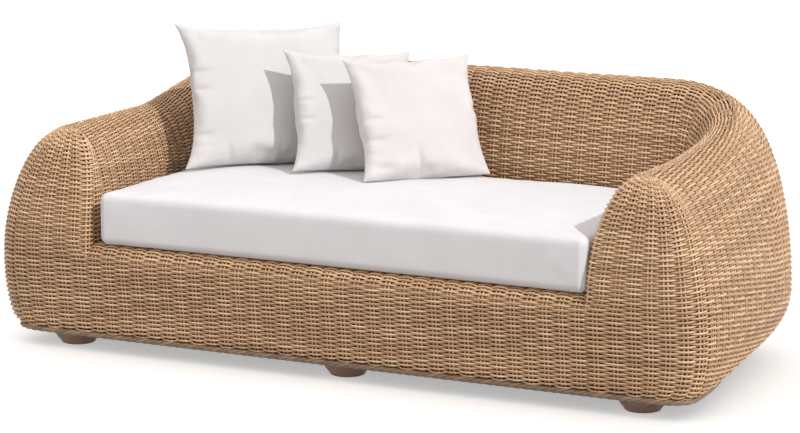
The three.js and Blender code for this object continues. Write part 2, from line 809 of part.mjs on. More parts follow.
const frontPostFoot = at(sideRailX - tubeWidth, frontRailY, railZ);
const frontPostRim = crestAt(crestStart + postWidth / 2);
const frontPostTop = at(frontPostRim.x, frontPostRim.y, frontPostRim.height - crestDrop);
const frontRailKeepOut = sweep(
  [at(0, frontRailY, railZ), at(frontRailEnd + seamGap, frontRailY, railZ)], grownRail,
);
const crestKeepOut = sweep(
  crestPoints(crestStart - seamGap, cornerEnd, sideColumns), grownCrest,
);
const frontPost = postTube(frontPostFoot, frontPostTop, [frontRailKeepOut, crestKeepOut]);
addMetal('front_right_post', frontPost);
addMetal('front_left_post', mirrored(frontPost));

const rearRim = crestAt(sideRun + rearPostPast);
const rearPostFoot = at(sideRailX, Math.min(rearRim.y, backRailY - baseCornerRadius), railZ);
const rearPostTop = at(rearRim.x, rearRim.y, rearRim.height - crestDrop);
const rearPost = postTube(rearPostFoot, rearPostTop, [sideRailKeepOut, crestKeepOut]);
addMetal('rear_right_post', rearPost);
addMetal('rear_left_post', mirrored(rearPost));

const backRailKeepOut = sweep(
  [at(railEndX, backRailY, railZ), at(-railEndX, backRailY, railZ)], grownRail,
);
const crestBackKeepOut = sweep(crestBackPoints, grownCrest);
backPostNames.forEach((name, i) => {
  const x = backPostPlaceShares[i] * (sideHalfWidth - cornerWidth);
  const from = at(x, backRailY, railZ);
  const to = at(x, crestBackY, backHeight - crestDrop);
  addMetal(name, postTube(from, to, [backRailKeepOut, crestBackKeepOut]));
});

// Seat frame: two rails between the arm posts, slats between them and two legs at the middle
const seatRailZ = deckUnderside - seamGap - tubeHeight / 2;
function onLine(from, to, z) {
  return from.clone().lerp(to, (z - from.z) / (to.z - from.z));
}
const grownPostWidth = postWidth + 2 * seamGap;
function postKeepOut(from, to) {
  const direction = new THREE.Vector3().subVectors(to, from);
  const block = new THREE.BoxGeometry(grownPostWidth, grownPostWidth, direction.length());
  const turn = new THREE.Quaternion().setFromUnitVectors(at(0, 0, 1), direction.normalize());
  const middle = from.clone().add(to).multiplyScalar(1 / 2);
  return block.applyQuaternion(turn).translate(middle.x, middle.y, middle.z);
}
const frontSeat = onLine(frontPostFoot, frontPostTop, seatRailZ);
const rearSeat = onLine(rearPostFoot, rearPostTop, seatRailZ);
function seatRail(place, keepOut) {
  const raw = straightTube(at(-place.x, place.y, seatRailZ), at(place.x, place.y, seatRailZ),
    tubeWidth, tubeHeight, tubeWall);
  return cut(raw, [keepOut, mirrored(keepOut)]);
}
addMetal('seat_front_rail', seatRail(frontSeat, postKeepOut(frontPostFoot, frontPostTop)));
addMetal('seat_rear_rail', seatRail(rearSeat, postKeepOut(rearPostFoot, rearPostTop)));
steps(-1, 1, slatCount - 1).forEach((share, i) => {
  const x = share * apronHalf * (1 - 1 / slatCount);
  const start = frontSeat.y + tubeWidth / 2 + seamGap;
  const end = rearSeat.y - tubeWidth / 2 - seamGap;
  addMetal(`seat_slat_${i + 1}`,
    straightTube(at(x, start, seatRailZ), at(x, end, seatRailZ), slatWidth, tubeHeight, tubeWall));
});
[['seat_front_leg', frontSeat.y], ['seat_rear_leg', rearSeat.y]].forEach(([name, y]) => {
  const from = at(0, y, railTop + seamGap);
  addMetal(name, postTube(from, at(0, y, seatRailZ - tubeHeight / 2 - seamGap), []));
});

// The seat cushion fills the seat between the arms and the backrest
const cushionWidth = 2 * (tipHalfWidth - innerReach - cushionSideGap);
const cushionFrontY = frontFaceY + cushionSetback;
const cushionDepth = crestBackY - innerReach - cushionRearGap - cushionFrontY;
const cushionMiddleY = cushionFrontY + cushionDepth / 2;

// The seat cushion: a box form with round edges, a crowned top and sides drawn in at the middle
function station(c, half, radius, count) {
  const i = Math.round((c + 1) / 2 * count);
  const mirror = i > count / 2;
  const k = mirror ? count - i : i;
  const early = [0, edgeStepShare * radius, radius];
  const place = k < early.length ? -half + early[k]
    : mix(-half + radius, half - radius, (k - 2) / (count - 4));
  return mirror ? -place : place;
}

// Half the clear width between the inner walls at a depth, which narrows round the rear corners
const wallPlan = steps(sideLength, cornerEnd, 2 * sideColumns).map((along) => {
  const rim = crestAt(along);
  return [rim.x - rim.outX * innerReach, rim.y - rim.outY * innerReach];
});
function seatHalfWidthAt(y) {
  const next = wallPlan.findIndex((place) => place[1] > y);
  if (next === 0) return wallPlan[0][0];
  const [a, b] = [wallPlan[next - 1], wallPlan[next]];
  return mix(a[0], b[0], (y - a[1]) / (b[1] - a[1]));
}

function cushionForm(inset, countX, countY, countZ) {
  const half = at(cushionWidth / 2 - inset, cushionDepth / 2 - inset, cushionHeight / 2 - inset);
  const radius = cushionEdgeRadius - inset;
  const core = half.clone().subScalar(radius);
  const box = new THREE.BoxGeometry(2, 2, 2, countX, countY, countZ);
  const places = box.attributes.position;
  const p = at(0, 0, 0);
  for (let i = 0; i < places.count; i += 1) {
    p.fromBufferAttribute(places, i);
    p.set(
      station(p.x, half.x, radius, countX),
      station(p.y, half.y, radius, countY),
      station(p.z, half.z, radius, countZ),
    );
    const near = p.clone().clamp(core.clone().negate(), core);
    const away = p.clone().sub(near);
    if (away.lengthSq() > 0) p.copy(near).addScaledVector(away.normalize(), radius);
    const [sx, sy] = [p.x / half.x, p.y / half.y];
    p.x *= Math.min(1, (seatHalfWidthAt(p.y + cushionMiddleY) - sideEase - inset) / half.x);
    const swell = (1 - sx ** 4) * (1 - sy ** 4);
    if (p.z > 0) p.z += cushionCrown * swell * p.z / half.z;
    p.x -= Math.sign(sx) * sx * sx * cushionDrawIn * (1 - sy * sy);
    p.y -= Math.sign(sy) * sy * sy * cushionDrawIn * (1 - sx * sx);
    places.setXYZ(i, p.x, p.y, p.z);
  }
  return box.translate(0, cushionMiddleY, cushionMiddleZ);
}

// A cover is the outer form less the fill's space and a slot that the zip closes
function coverAndZip(outer, inner, slot, plug) {
  const shell = toSolid(outer).subtract(toSolid(inner));
  return {
    cover: fromSolid(shell.subtract(toSolid(slot))),
    zip: fromSolid(shell.intersect(toSolid(plug))),
  };
}

const cushionMiddleZ = deckHeight + seamGap + cushionHeight / 2;
const cushionOuter = cushionForm(0, 14, 9, 5);
const cushionSolid = toSolid(cushionOuter);
const zipReach = 3 * cushionDrawIn;
function rearSlot(trim) {
  const length = zipLengthShare * cushionWidth - 2 * trim;
  return new THREE.BoxGeometry(length, zipReach, zipHeight - 2 * trim)
    .translate(0, cushionMiddleY + cushionDepth / 2 - cushionDrawIn, cushionMiddleZ);
}
const seat = coverAndZip(cushionOuter, cushionForm(coverThickness, 9, 7, 5), rearSlot(0), rearSlot(seamGap));
add('seat_cushion_cover', seat.cover, coverColour, 0.9, 0);
add('seat_cushion_foam', cushionForm(coverThickness + coverEase, 9, 7, 5), foamColour, 0.95, 0);
add('seat_cushion_zip', seat.zip, zipColour, 0.7, 0);

const armInnerX = -(tipHalfWidth - innerReach);
const backInnerY = crestBackY - innerReach;
const largePillow = {
  width: largePillowWidth,
  height: largePillowHeight,
  thickness: largePillowThickness,
};
const smallPillow = {
  width: smallPillowWidth,
  height: smallPillowHeight,
  thickness: smallPillowThickness,
};
const pillowSpecs = [
  {
    ...largePillow,
    name: 'corner_pillow',
    right: armInnerX + cornerPillowFromArm,
    back: backInnerY - cornerPillowFromBack,
    turn: cornerPillowTurn,
    lean: cornerPillowLean,
    tilt: cornerPillowTilt,
  },
  {
    ...smallPillow,
    name: 'middle_pillow',
    right: armInnerX + middlePillowFromArm,
    back: backInnerY - middlePillowFromBack,
    turn: middlePillowTurn,
    lean: middlePillowLean,
    tilt: middlePillowTilt,
  },
  {
    ...smallPillow,
    name: 'front_pillow',
    right: armInnerX + frontPillowFromArm,
    back: backInnerY - frontPillowFromBack,
    turn: frontPillowTurn,
    lean: frontPillowLean,
    tilt: frontPillowTilt,
  },
];

// A knife-edge pillow: two crowned faces that meet in a thin edge, its sides drawn in between
// the corners
function pillowForm(spec, inset, count) {
  const [w, h, t] = [spec.width, spec.height, spec.thickness].map((size) => size / 2 - inset);
  const draw = pillowDrawInShare;
  const full = (c) => Math.pow(Math.max(1 - Math.abs(c) ** pillowFullness, 0), pillowEdgePower);
  const positions = [];
  [1, -1].forEach((face) => {
    for (let i = 0; i <= count; i += 1) {
      for (let j = 0; j <= count; j += 1) {
        const a = Math.sin((i / count - 1 / 2) * Math.PI);
        const b = Math.sin((j / count - 1 / 2) * Math.PI);
        const edge = i === 0 || j === 0 || i === count || j === count;
        positions.push(
          w * a * (1 - draw * (1 - b * b) * a * a),
          h * b * (1 - draw * (1 - a * a) * b * b),
          edge ? 0 : face * t * full(a) * full(b),
        );
      }
    }
  });
  const row = count + 1;
  const indices = [];
  for (let i = 0; i < count; i += 1) {
    for (let j = 0; j < count; j += 1) {
      const [a, b, c, d] = [i * row + j, (i + 1) * row + j, (i + 1) * row + j + 1, i * row + j + 1];
      indices.push(a, b, c, a, c, d);
      const s = row * row;
      indices.push(s + a, s + c, s + b, s + a, s + d, s + c);
    }
  }
  return closedMesh(positions, indices);
}

function pillowFrame(spec) {
  const [turn, lean, tilt] = [spec.turn * degree, spec.lean * degree, spec.tilt * degree];
  const across = at(Math.cos(turn), Math.sin(turn), 0);
  const up = at(-Math.sin(turn) * Math.sin(lean), Math.cos(turn) * Math.sin(lean), Math.cos(lean));
  const right = across.clone().multiplyScalar(Math.cos(tilt)).addScaledVector(up, Math.sin(tilt));
  const rise = up.clone().multiplyScalar(Math.cos(tilt)).addScaledVector(across, -Math.sin(tilt));
  const facing = new THREE.Vector3().crossVectors(right, rise);
  const middle = at(spec.right, spec.back, deckHeight + cushionHeight)
    .addScaledVector(rise, spec.height / 2);
  return new THREE.Matrix4().makeBasis(right, rise, facing).setPosition(middle);
}

// Lowers a form until it rests on the seat cushion, and returns how far that is
function settle(geometry) {
  let high = cushionHeight;
  const solid = toSolid(geometry).translate([0, 0, high]);
  let low = -cushionHeight;
  for (let i = 0; i < 24; i += 1) {
    const middle = (low + high) / 2;
    const clear = solid.translate([0, 0, middle - cushionHeight]).intersect(cushionSolid).isEmpty();
    if (clear) high = middle;
    else low = middle;
  }
  return high + seamGap;
}

pillowSpecs.forEach((spec) => {
  const outer = pillowForm(spec, 0, pillowGrid);
  const length = pillowZipShare * spec.width;
  const depth = pillowZipDepth + pillowDrawInShare * spec.height / 2;
  const slot = (trim) => new THREE.BoxGeometry(length - 2 * trim, depth, pillowZipHeight - 2 * trim)
    .translate(0, (depth - spec.height) / 2, 0);
  const inner = pillowForm(spec, coverThickness, pillowCoreGrid);
  const { cover, zip } = coverAndZip(outer, inner, slot(0), slot(seamGap));
  const fill = pillowForm(spec, coverThickness + coverEase, pillowCoreGrid);
  const place = pillowFrame(spec);
  const drop = settle(outer.clone().applyMatrix4(place));
  place.premultiply(new THREE.Matrix4().makeTranslation(0, 0, drop));
  add(`${spec.name}_cover`, cover.applyMatrix4(place), coverColour, 0.9, 0);
  add(`${spec.name}_fill`, fill.applyMatrix4(place), foamColour, 0.95, 0);
  add(`${spec.name}_zip`, zip.applyMatrix4(place), zipColour, 0.7, 0);
});

export default sofa;
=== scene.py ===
import json
import math

import bpy
import numpy as np
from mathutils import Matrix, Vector

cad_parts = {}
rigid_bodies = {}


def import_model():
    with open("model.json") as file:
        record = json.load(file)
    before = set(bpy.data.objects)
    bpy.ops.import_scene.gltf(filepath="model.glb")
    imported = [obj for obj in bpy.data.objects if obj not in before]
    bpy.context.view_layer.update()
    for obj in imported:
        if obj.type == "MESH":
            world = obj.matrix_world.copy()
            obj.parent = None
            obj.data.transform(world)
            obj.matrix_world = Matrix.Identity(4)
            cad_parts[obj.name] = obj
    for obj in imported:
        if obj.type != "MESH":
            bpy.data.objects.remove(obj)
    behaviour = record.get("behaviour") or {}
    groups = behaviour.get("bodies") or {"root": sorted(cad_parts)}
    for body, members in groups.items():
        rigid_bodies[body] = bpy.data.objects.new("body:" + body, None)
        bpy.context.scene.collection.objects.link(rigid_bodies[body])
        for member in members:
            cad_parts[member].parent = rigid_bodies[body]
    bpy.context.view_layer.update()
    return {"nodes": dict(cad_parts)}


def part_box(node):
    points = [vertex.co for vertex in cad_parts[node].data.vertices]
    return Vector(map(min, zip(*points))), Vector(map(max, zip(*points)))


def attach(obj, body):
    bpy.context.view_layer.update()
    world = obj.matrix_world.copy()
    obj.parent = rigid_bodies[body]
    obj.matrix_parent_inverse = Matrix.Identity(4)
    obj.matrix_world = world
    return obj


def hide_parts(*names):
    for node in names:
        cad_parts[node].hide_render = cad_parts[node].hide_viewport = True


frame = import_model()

# The camera stands where the photograph was taken from
photoView = {"lens": 137.25, "place": (3.7099, -7.3834, 1.9249), "down": 10.7036, "turn": 26.8937}
cameraData = bpy.data.cameras.new("photoCamera")
cameraData.lens = photoView["lens"]
cameraData.sensor_width = 36
cameraData.dof.use_dof = False
camera = bpy.data.objects.new("photoCamera", cameraData)
camera.location = photoView["place"]
camera.rotation_euler = (math.radians(90 - photoView["down"]), 0, math.radians(photoView["turn"]))
bpy.context.scene.collection.objects.link(camera)
bpy.context.scene.camera = camera
bpy.context.scene.view_settings.view_transform = "Standard"
print("camera set")

# The woven body, in millimetres: the forms of the frame's walls, with the foot curled in, the inner
# walls a little further out and the right arm's rim rising sooner
body = {
    "bodyDepth": 1007, "tipHalfWidth": 857, "sideBulge": 9, "cornerWidth": 230, "cornerDepth": 350,
    "cornerRound": 0.74, "sideRound": 0.35, "armHeight": 609, "backHeight": 735, "riseLead": 15,
    "riseTail": 6, "frontReach": 117, "frontFootReach": 96, "armReach": 194, "cornerReach": 166,
    "backReach": 120, "cornerReachShare": 0.43, "backReachTail": 36, "innerReach": 121,
    "frontFoot": 0.8, "rearFoot": 0.36, "shoulder": 0.55, "bellyShoulder": 0.56, "innerShoulder": 0.6,
    "innerWaist": 0.7, "frontShoulder": 0.35, "tuck": 0.34, "tuckEnd": 0.12, "wallFoot": 0.7,
    "bellyHeight": 200, "frontBellyHeight": 300, "postRound": 3.2, "innerPostRadius": 26,
    "sharpRadius": 3, "cornerFade": 40, "skinBottom": 56.3, "deckHeight": 302, "belly": 0.7,
    "fanEnd": 0.5, "flatEnd": 0.7, "roundEnd": 0.8, "seam": 0.95,
    "rollRadius": 38, "lip": 74, "footRoll": 8, "footRollHeight": 26,
    "rightRise": 24, "rightRisePlace": 470, "rightRiseSpread": 170,
}
frontFaceY = -body["bodyDepth"] / 2
tipY = frontFaceY + body["frontReach"]
crestBackY = body["bodyDepth"] / 2 - body["backReach"]
wideY = crestBackY - body["cornerDepth"]
sideHalfWidth = body["tipHalfWidth"] + body["sideBulge"]


def bezier(a, b, c, d, t):
    s = 1 - t
    return s ** 3 * a + 3 * s * s * t * b + 3 * s * t * t * c + t ** 3 * d


def smooth(t):
    c = np.clip(t, 0, 1)
    return c * c * (3 - 2 * c)


def mix(a, b, t):
    return a + (b - a) * t


def unit(vectors):
    # each vector over its own length
    return vectors / np.maximum(np.linalg.norm(vectors, axis=-1, keepdims=True), 1e-9)


def arcLength(points):
    # running length along a chain of points
    return np.concatenate([[0], np.cumsum(np.linalg.norm(np.diff(points, axis=0), axis=1))])


def atEach(place, places, table):
    # every column of a table at the same places along it
    return [np.interp(place, places, column) for column in table.T]


def gridFaces(index):
    # the four-sided faces of a grid of vertex numbers
    return np.stack([index[:-1, :-1], index[1:, :-1], index[1:, 1:], index[:-1, 1:]], -1).reshape(-1, 4)


def drawRim():
    # half of the rim in plan: a slightly bowed side, a round rear corner, and half of the back
    t = np.linspace(0, 1, 1500)
    wide, turned = body["cornerWidth"], body["cornerRound"]
    even = (wideY - tipY) * body["sideRound"]
    inX = sideHalfWidth - wide
    side, corner, back = (np.stack(part, 1) for part in (
        (bezier(body["tipHalfWidth"], body["tipHalfWidth"], sideHalfWidth, sideHalfWidth, t),
         bezier(tipY, tipY + even, wideY - even, wideY, t)),
        (bezier(sideHalfWidth, sideHalfWidth, sideHalfWidth - wide * (1 - turned), inX, t),
         bezier(wideY, wideY + body["cornerDepth"] * turned, crestBackY, crestBackY, t)),
        (mix(inX, 0, t), np.full_like(t, crestBackY))))
    points = np.concatenate([side, corner[1:], back[1:]])
    return points, arcLength(points), arcLength(side)[-1], arcLength(corner)[-1]


rimPoints, rimArc, sideRun, cornerRun = drawRim()
rimTangent = unit(np.gradient(rimPoints, rimArc, axis=0))
crestLength = rimArc[-1]
cornerEnd = sideRun + cornerRun
cornerPlace = sideRun + body["cornerReachShare"] * cornerRun


def rimAt(along):
    # place, outward direction and height of the rim at a distance from the arm's front end
    x, y = atEach(along, rimArc, rimPoints)
    tx, ty = atEach(along, rimArc, rimTangent)
    riseFrom, riseTo = sideRun - body["riseLead"], cornerEnd + body["riseTail"]
    height = mix(body["armHeight"], body["backHeight"], smooth((along - riseFrom) / (riseTo - riseFrom)))
    return x, y, ty, -tx, height


def reachAt(along):
    # how far the belly stands out from the rim, least at the back
    backPlace = cornerEnd + body["backReachTail"]
    toCorner = mix(body["armReach"], body["cornerReach"], smooth(along / cornerPlace))
    return mix(toCorner, body["backReach"], smooth((along - cornerPlace) / (backPlace - cornerPlace)))


def footShareAt(along):
    # share of the reach left at the foot of the wall: large in front, small behind
    return mix(body["frontFoot"], body["rearFoot"], smooth(along / cornerPlace))


def footRoll(z):
    # how far the lowest rows curl in under the wall
    above = (z - body["skinBottom"]) / body["footRollHeight"]
    return body["footRoll"] * np.clip(1 - above, 0, 1) ** 2


def outerProfile(reach, top, footShare, v):
    # one upright cut of the outer wall: rim to belly on one curve, belly to foot on another
    t = np.clip(v / body["belly"], 0, 1)
    s = np.clip((v - body["belly"]) / (1 - body["belly"]), 0, 1)
    low, foot = body["skinBottom"], footShare * reach
    drop = body["bellyHeight"] - low
    shoulderZ = mix(body["bellyHeight"], top, body["bellyShoulder"])
    out = np.where(v < body["belly"], bezier(0, body["shoulder"] * reach, reach, reach, t),
                   bezier(reach, reach, mix(foot, reach, body["wallFoot"]), foot, s))
    z = np.where(v < body["belly"], bezier(top, top, shoulderZ, body["bellyHeight"], t),
                 bezier(body["bellyHeight"], body["bellyHeight"] - body["tuck"] * drop,
                        low + body["tuckEnd"] * drop, low, s))
    return out - footRoll(z), z


curveSteps = np.linspace(0, 1, 800)


def curveReach(z, low, shoulder, share, reach):
    # how far the arm's curve from the rim down to a low place has come out at a height
    top = body["armHeight"]
    heights = bezier(top, top, mix(low, top, shoulder), low, curveSteps)
    reaches = bezier(0, share * reach, reach, reach, curveSteps)
    return np.where(z > low, np.interp(z, heights[::-1], reaches[::-1]), reach)


def frontReachAt(z):
    # how far the front face stands ahead of the rim's end at a height
    belly, reach = body["frontBellyHeight"], body["frontReach"]
    above = curveReach(z, belly, body["frontShoulder"], body["frontShoulder"], reach)
    below = mix(reach, body["frontFootReach"], smooth((belly - z) / (belly - body["skinBottom"])))
    return np.where(z > belly, above, below) - footRoll(z)


def innerReachAt(z):
    # how far the arm's inner face lies inside the rim at a height
    return curveReach(z, body["deckHeight"], body["innerWaist"], body["innerShoulder"], body["innerReach"])


def postPoint(column, z, out):
    # the arm's front end in plan: a rounded outer corner, a flat front and a small inner round
    ahead, inside = frontReachAt(z), innerReachAt(z)
    fade = smooth((z - (body["deckHeight"] - body["cornerFade"])) / body["cornerFade"])
    radius = np.minimum(mix(body["sharpRadius"], body["innerPostRadius"], fade),
                        np.minimum(inside, ahead) / 2)
    fan, flat, turned = body["fanEnd"], body["flatEnd"], body["roundEnd"]
    angle = np.clip(column / fan, 0, 1) * np.pi / 2
    power = 2 / body["postRound"]
    bend = np.clip((column - flat) / (turned - flat), 0, 1) * np.pi / 2
    stretches = [column <= fan, column <= flat, column <= turned]
    side = np.select(
        stretches,
        [out * np.maximum(np.cos(angle), 0) ** power, -(inside - radius) * (column - fan) / (flat - fan),
         -(inside - radius) - radius * np.sin(bend)], -inside)
    forward = np.select(
        stretches,
        [ahead * np.sin(angle) ** power, ahead, ahead - radius * (1 - np.cos(bend))],
        (ahead - radius) * (1 - column) / (1 - turned))
    return np.stack([body["tipHalfWidth"] + side, tipY - forward, z], -1)


def outerWall(u, v):
    # u below 0 runs round the front post, u above 0 along the rim; v runs from the rim to the foot
    x, y, outX, outY, height = rimAt(np.maximum(u, 0))
    along = np.maximum(u, 0)
    out, z = outerProfile(reachAt(along), height, footShareAt(along), v)
    wall = np.stack([x + outX * out, y + outY * out, z], -1)
    return np.where((u < 0)[..., None], postPoint(np.maximum(-u, 0), z, out), wall)


def innerWall(u, v):
    # u below 0 turns into the post, v runs from the rim down to the deck
    x, y, outX, outY, height = rimAt(np.maximum(u, 0))
    reach = body["innerReach"]
    t = np.clip(v, 0, 1)
    z = bezier(height, height, mix(body["deckHeight"], height, body["innerWaist"]), body["deckHeight"], t)
    inside = bezier(0, body["innerShoulder"] * reach, reach, reach, t)
    wall = np.stack([x - outX * inside, y - outY * inside, z], -1)
    return np.where((u < 0)[..., None], postPoint(1 + np.minimum(u, 0), z, 0 * z), wall)


# The cane: single weft strands woven over and under upright stakes, each a pair of round canes
cane = {
    "strandWidth": 6.7, "strandThickness": 4.8, "swing": 5.0, "flatTop": 1.3, "stakeDiameter": 5.0,
    "stakeSpread": 5.2, "sink": 3.2, "fullPitch": 24, "samples": 5, "sides": 6, "sag": 0.1,
    "sagRate": 0.9, "sagPhase": 3, "stakeSides": 6,
    "rowFill": 0.97, "thinnest": 0.35, "packed": 0.4, "stakeShare": 0.3, "spreadShare": 0.2,
    "stakeSample": 2.6, "stakeShade": 0.55, "lap": 0.03, "short": 0.001,
    "toneLength": 9, "toneRow": 7.31, "seed": 12,
}
outer = {"rows": 96, "pitch": 43.0, "gaugeShare": 0.5}
inner = {"rows": 72, "pitch": 38.4, "gaugeShare": 0.3}
apron = {"pitch": 44.8, "ease": -0.5}


def shareTable(points, shares):
    # evenly spaced rows: the share of the wall at each share of its length
    length = arcLength(points)
    return lambda s: np.interp(s, length / length[-1], shares)


profileSteps = np.linspace(0, 1, 900)
armCut = np.stack(outerProfile(body["armReach"], body["armHeight"], body["frontFoot"], profileSteps), 1)
frontCut = np.stack([frontReachAt(armCut[:, 1]), armCut[:, 1]], 1)
sideShare = shareTable(armCut, profileSteps)
frontShare = shareTable(frontCut, profileSteps)
frontRow = arcLength(frontCut)[-1] / outer["rows"]
innerCut = innerWall(np.full(900, sideRun / 2), profileSteps)
innerShare = shareTable(innerCut, profileSteps)


def outerRows(r, u):
    # row r of the outer wall: even on the side and even on the post's front, eased round the corner
    s = np.clip(r / outer["rows"], 0, 1)
    return mix(sideShare(s), frontShare(s), smooth(-u / body["fanEnd"]))


def stakeTable(u, points, pitch, lastShare):
    # places of the stakes: even steps along the wall's contour, ending at a whole number and a share
    length = arcLength(points)
    count = round(length[-1] / pitch - lastShare) + lastShare
    return length / length[-1] * count, u, count


def outerStakes(u, lastShare):
    # counted half way up the outer wall
    gauge = outerWall(u, outerRows(outer["gaugeShare"] * outer["rows"], u))
    return stakeTable(u, gauge, outer["pitch"], lastShare)


gaugeU = np.concatenate([np.linspace(crestLength, 0, 900), np.linspace(0, -body["flatEnd"], 500)[1:]])
outerK, outerU, outerEnd = outerStakes(gaugeU, 0.5)
returnU = np.linspace(-body["flatEnd"], -body["seam"], 200)
returnK, _, returnCount = outerStakes(returnU, 0)
outerK = np.append(outerK, outerEnd + returnK[1:])
outerU = np.append(outerU, returnU[1:])
postEnd = outerEnd + returnCount
innerGaugeU = np.concatenate([np.linspace(crestLength, 0, 900), np.linspace(0, body["seam"] - 1, 60)[1:]])
innerGauge = innerWall(innerGaugeU, innerShare(inner["gaugeShare"]) + 0 * innerGaugeU)
innerK, innerU, innerEnd = stakeTable(innerGaugeU, innerGauge, inner["pitch"], 0.5)
backK = round(np.interp(-cornerEnd, -outerU, outerK))
innerBackK = round(np.interp(-cornerEnd, -innerU, innerK))


def toSide(points, k):
    # the left half is the right half seen in a mirror
    return points * np.stack([np.where(k < 0, -1, 1), np.ones_like(k), np.ones_like(k)], -1)


def lifted(points, u, k):
    # the right arm climbs to the back a little sooner than the left one: a soft swell of its upper part
    swell = body["rightRise"] * np.exp(-((u - body["rightRisePlace"]) / body["rightRiseSpread"]) ** 2)
    share = np.clip((points[..., 2] - body["deckHeight"]) / (body["armHeight"] - body["deckHeight"]), 0, 1)
    up = np.where(k > 0, swell * smooth(share), 0)
    return points + np.stack([0 * up, 0 * up, up], -1)


def outerSheet(k, r):
    u = np.interp(np.abs(k), outerK, outerU)
    return toSide(lifted(outerWall(u, outerRows(r, u)), u, k), k)


def innerSheet(k, r):
    u = np.interp(np.abs(k), innerK, innerU)
    return toSide(lifted(innerWall(u, innerShare(np.clip(r / inner["rows"], 0, 1))), u, k), k)


# The apron's own cut, from its foot up the front, over the roll and back under the cushion
rollStart = body["deckHeight"] - body["rollRadius"]
apronUp = np.linspace(body["skinBottom"], rollStart, 300)
rollAngle = np.linspace(0, np.pi / 2, 60)[1:]
apronFront = tipY - frontReachAt(np.array(rollStart))
apronCut = np.concatenate([
    np.stack([tipY - frontReachAt(apronUp), apronUp], 1),
    np.stack([apronFront + body["rollRadius"] * (1 - np.cos(rollAngle)),
              rollStart + body["rollRadius"] * np.sin(rollAngle)], 1),
    [[apronFront + body["lip"], body["deckHeight"]]],
])
apronArc = arcLength(apronCut)
apronHalf = body["tipHalfWidth"] - body["innerReach"] + body["sharpRadius"] - apron["ease"]
apronEnd = round(apronHalf / apron["pitch"] - 0.5) + 0.5
apronFirst = outer["rows"] - int(apronArc[-1] / frontRow)
apronTurn = 0 if math.sin(apronEnd * math.pi) * -math.sin(outerEnd * math.pi) > 0 else 1


def apronSheet(k, r):
    a = (outer["rows"] - r) * frontRow
    return np.stack([k * apronHalf / apronEnd, *atEach(a, apronArc, apronCut)], -1)


# The deck under the cushion: flat bands on the same kind of stakes
deck = {"pitch": 44.8, "row": 13.5, "bandWidth": 12.6, "bandThickness": 2.6, "ease": 8, "low": 0.5}
deckPlan = np.array([innerWall(np.array([a]), np.array([1.0]))[0] for a in np.linspace(0, cornerEnd, 60)])
deckFront = apronFront + body["lip"]
deckBack = crestBackY - body["innerReach"] - deck["ease"]
deckRows = int((deckBack - deckFront) / deck["row"])


def seatHalf(y):
    # half the width between the inner walls, down at the deck
    return np.interp(y, deckPlan[:, 1], deckPlan[:, 0])


def deckRow(r):
    # place of a row of the deck, half its length and its height
    y = deckBack - r * deck["row"]
    return y, seatHalf(y) - deck["ease"], np.full_like(y, body["deckHeight"] - deck["low"])


def deckSheet(k, r):
    y, half, z = deckRow(r)
    return np.stack([np.clip(k * deck["pitch"], -half, half), y, z], -1)


def deckUnder(k, r):
    # the deck's plan without its bands, each row as wide as the seat there, for the painted shade under the deck
    y, half, z = deckRow(r)
    return np.stack([k / deckWide * half, y, z], -1)


def sheetFrame(sheet, k, r, outward):
    # a place on the sheet, its outward direction, and the lengths of one stake step and one row step
    dk, dr = 0.02, 0.05  # parts of a stake step and of a row step
    acrossK = (sheet(k + dk, r) - sheet(k - dk, r)) / (2 * dk)
    acrossR = (sheet(k, r + dr) - sheet(k, r - dr)) / (2 * dr)
    normal = unit(np.cross(acrossK, acrossR)) * outward
    return sheet(k, r), normal, np.linalg.norm(acrossK, axis=-1), np.linalg.norm(acrossR, axis=-1), unit(acrossK)


def tubes(lines, normals, width, thickness, sides):
    # rings of an oval section carried along many lines at once, closed at both ends:
    # place + across * cos(angle) * width / 2 + out * sin(angle) * thickness / 2
    count, steps = lines.shape[:2]
    along = unit(np.gradient(lines, axis=1))
    across = unit(np.cross(normals, along))
    out = np.cross(along, across)
    angle = (np.arange(sides) + 0.5) / sides * 2 * np.pi
    c, s = np.cos(angle)[:, None], np.sin(angle)[:, None]
    points = (lines[:, :, None] + across[:, :, None] * c * (width / 2)[..., None, None]
              + out[:, :, None] * s * (thickness / 2)[..., None, None])
    index = np.arange(count * steps * sides).reshape(count, steps, sides)
    turned = np.roll(index, -1, 2)
    walls = np.stack([index[:, :-1], turned[:, :-1], turned[:, 1:], index[:, 1:]], -1).reshape(-1, 4)
    caps = []
    for k in range(sides // 2 - 1):
        corners = [0, k * 2 + 1, k * 2 + 2, (k * 2 + 3) % sides]
        caps.append(np.stack([index[:, 0, corner] for corner in corners[::-1]], -1))
        caps.append(np.stack([index[:, -1, corner] for corner in corners], -1))
    line, ring = np.arange(count)[:, None, None], np.arange(sides)
    step = np.arange(steps)[None, :, None] / max(steps - 1, 1)
    flat, flatNext = (np.stack(np.broadcast_arrays(step, (line + (ring + one) / (sides + 1)) / count), -1)
                      for one in (0, 1))
    wallUv = np.stack([flat[:, :-1], flatNext[:, :-1], flatNext[:, 1:], flat[:, 1:]], -2).reshape(-1, 4, 2)
    capUv = [flat.reshape(-1, 2)[cap] for cap in caps]
    faces = np.concatenate([walls, *caps])
    return points.reshape(-1, 3), faces, np.concatenate([wallUv, *capUv])


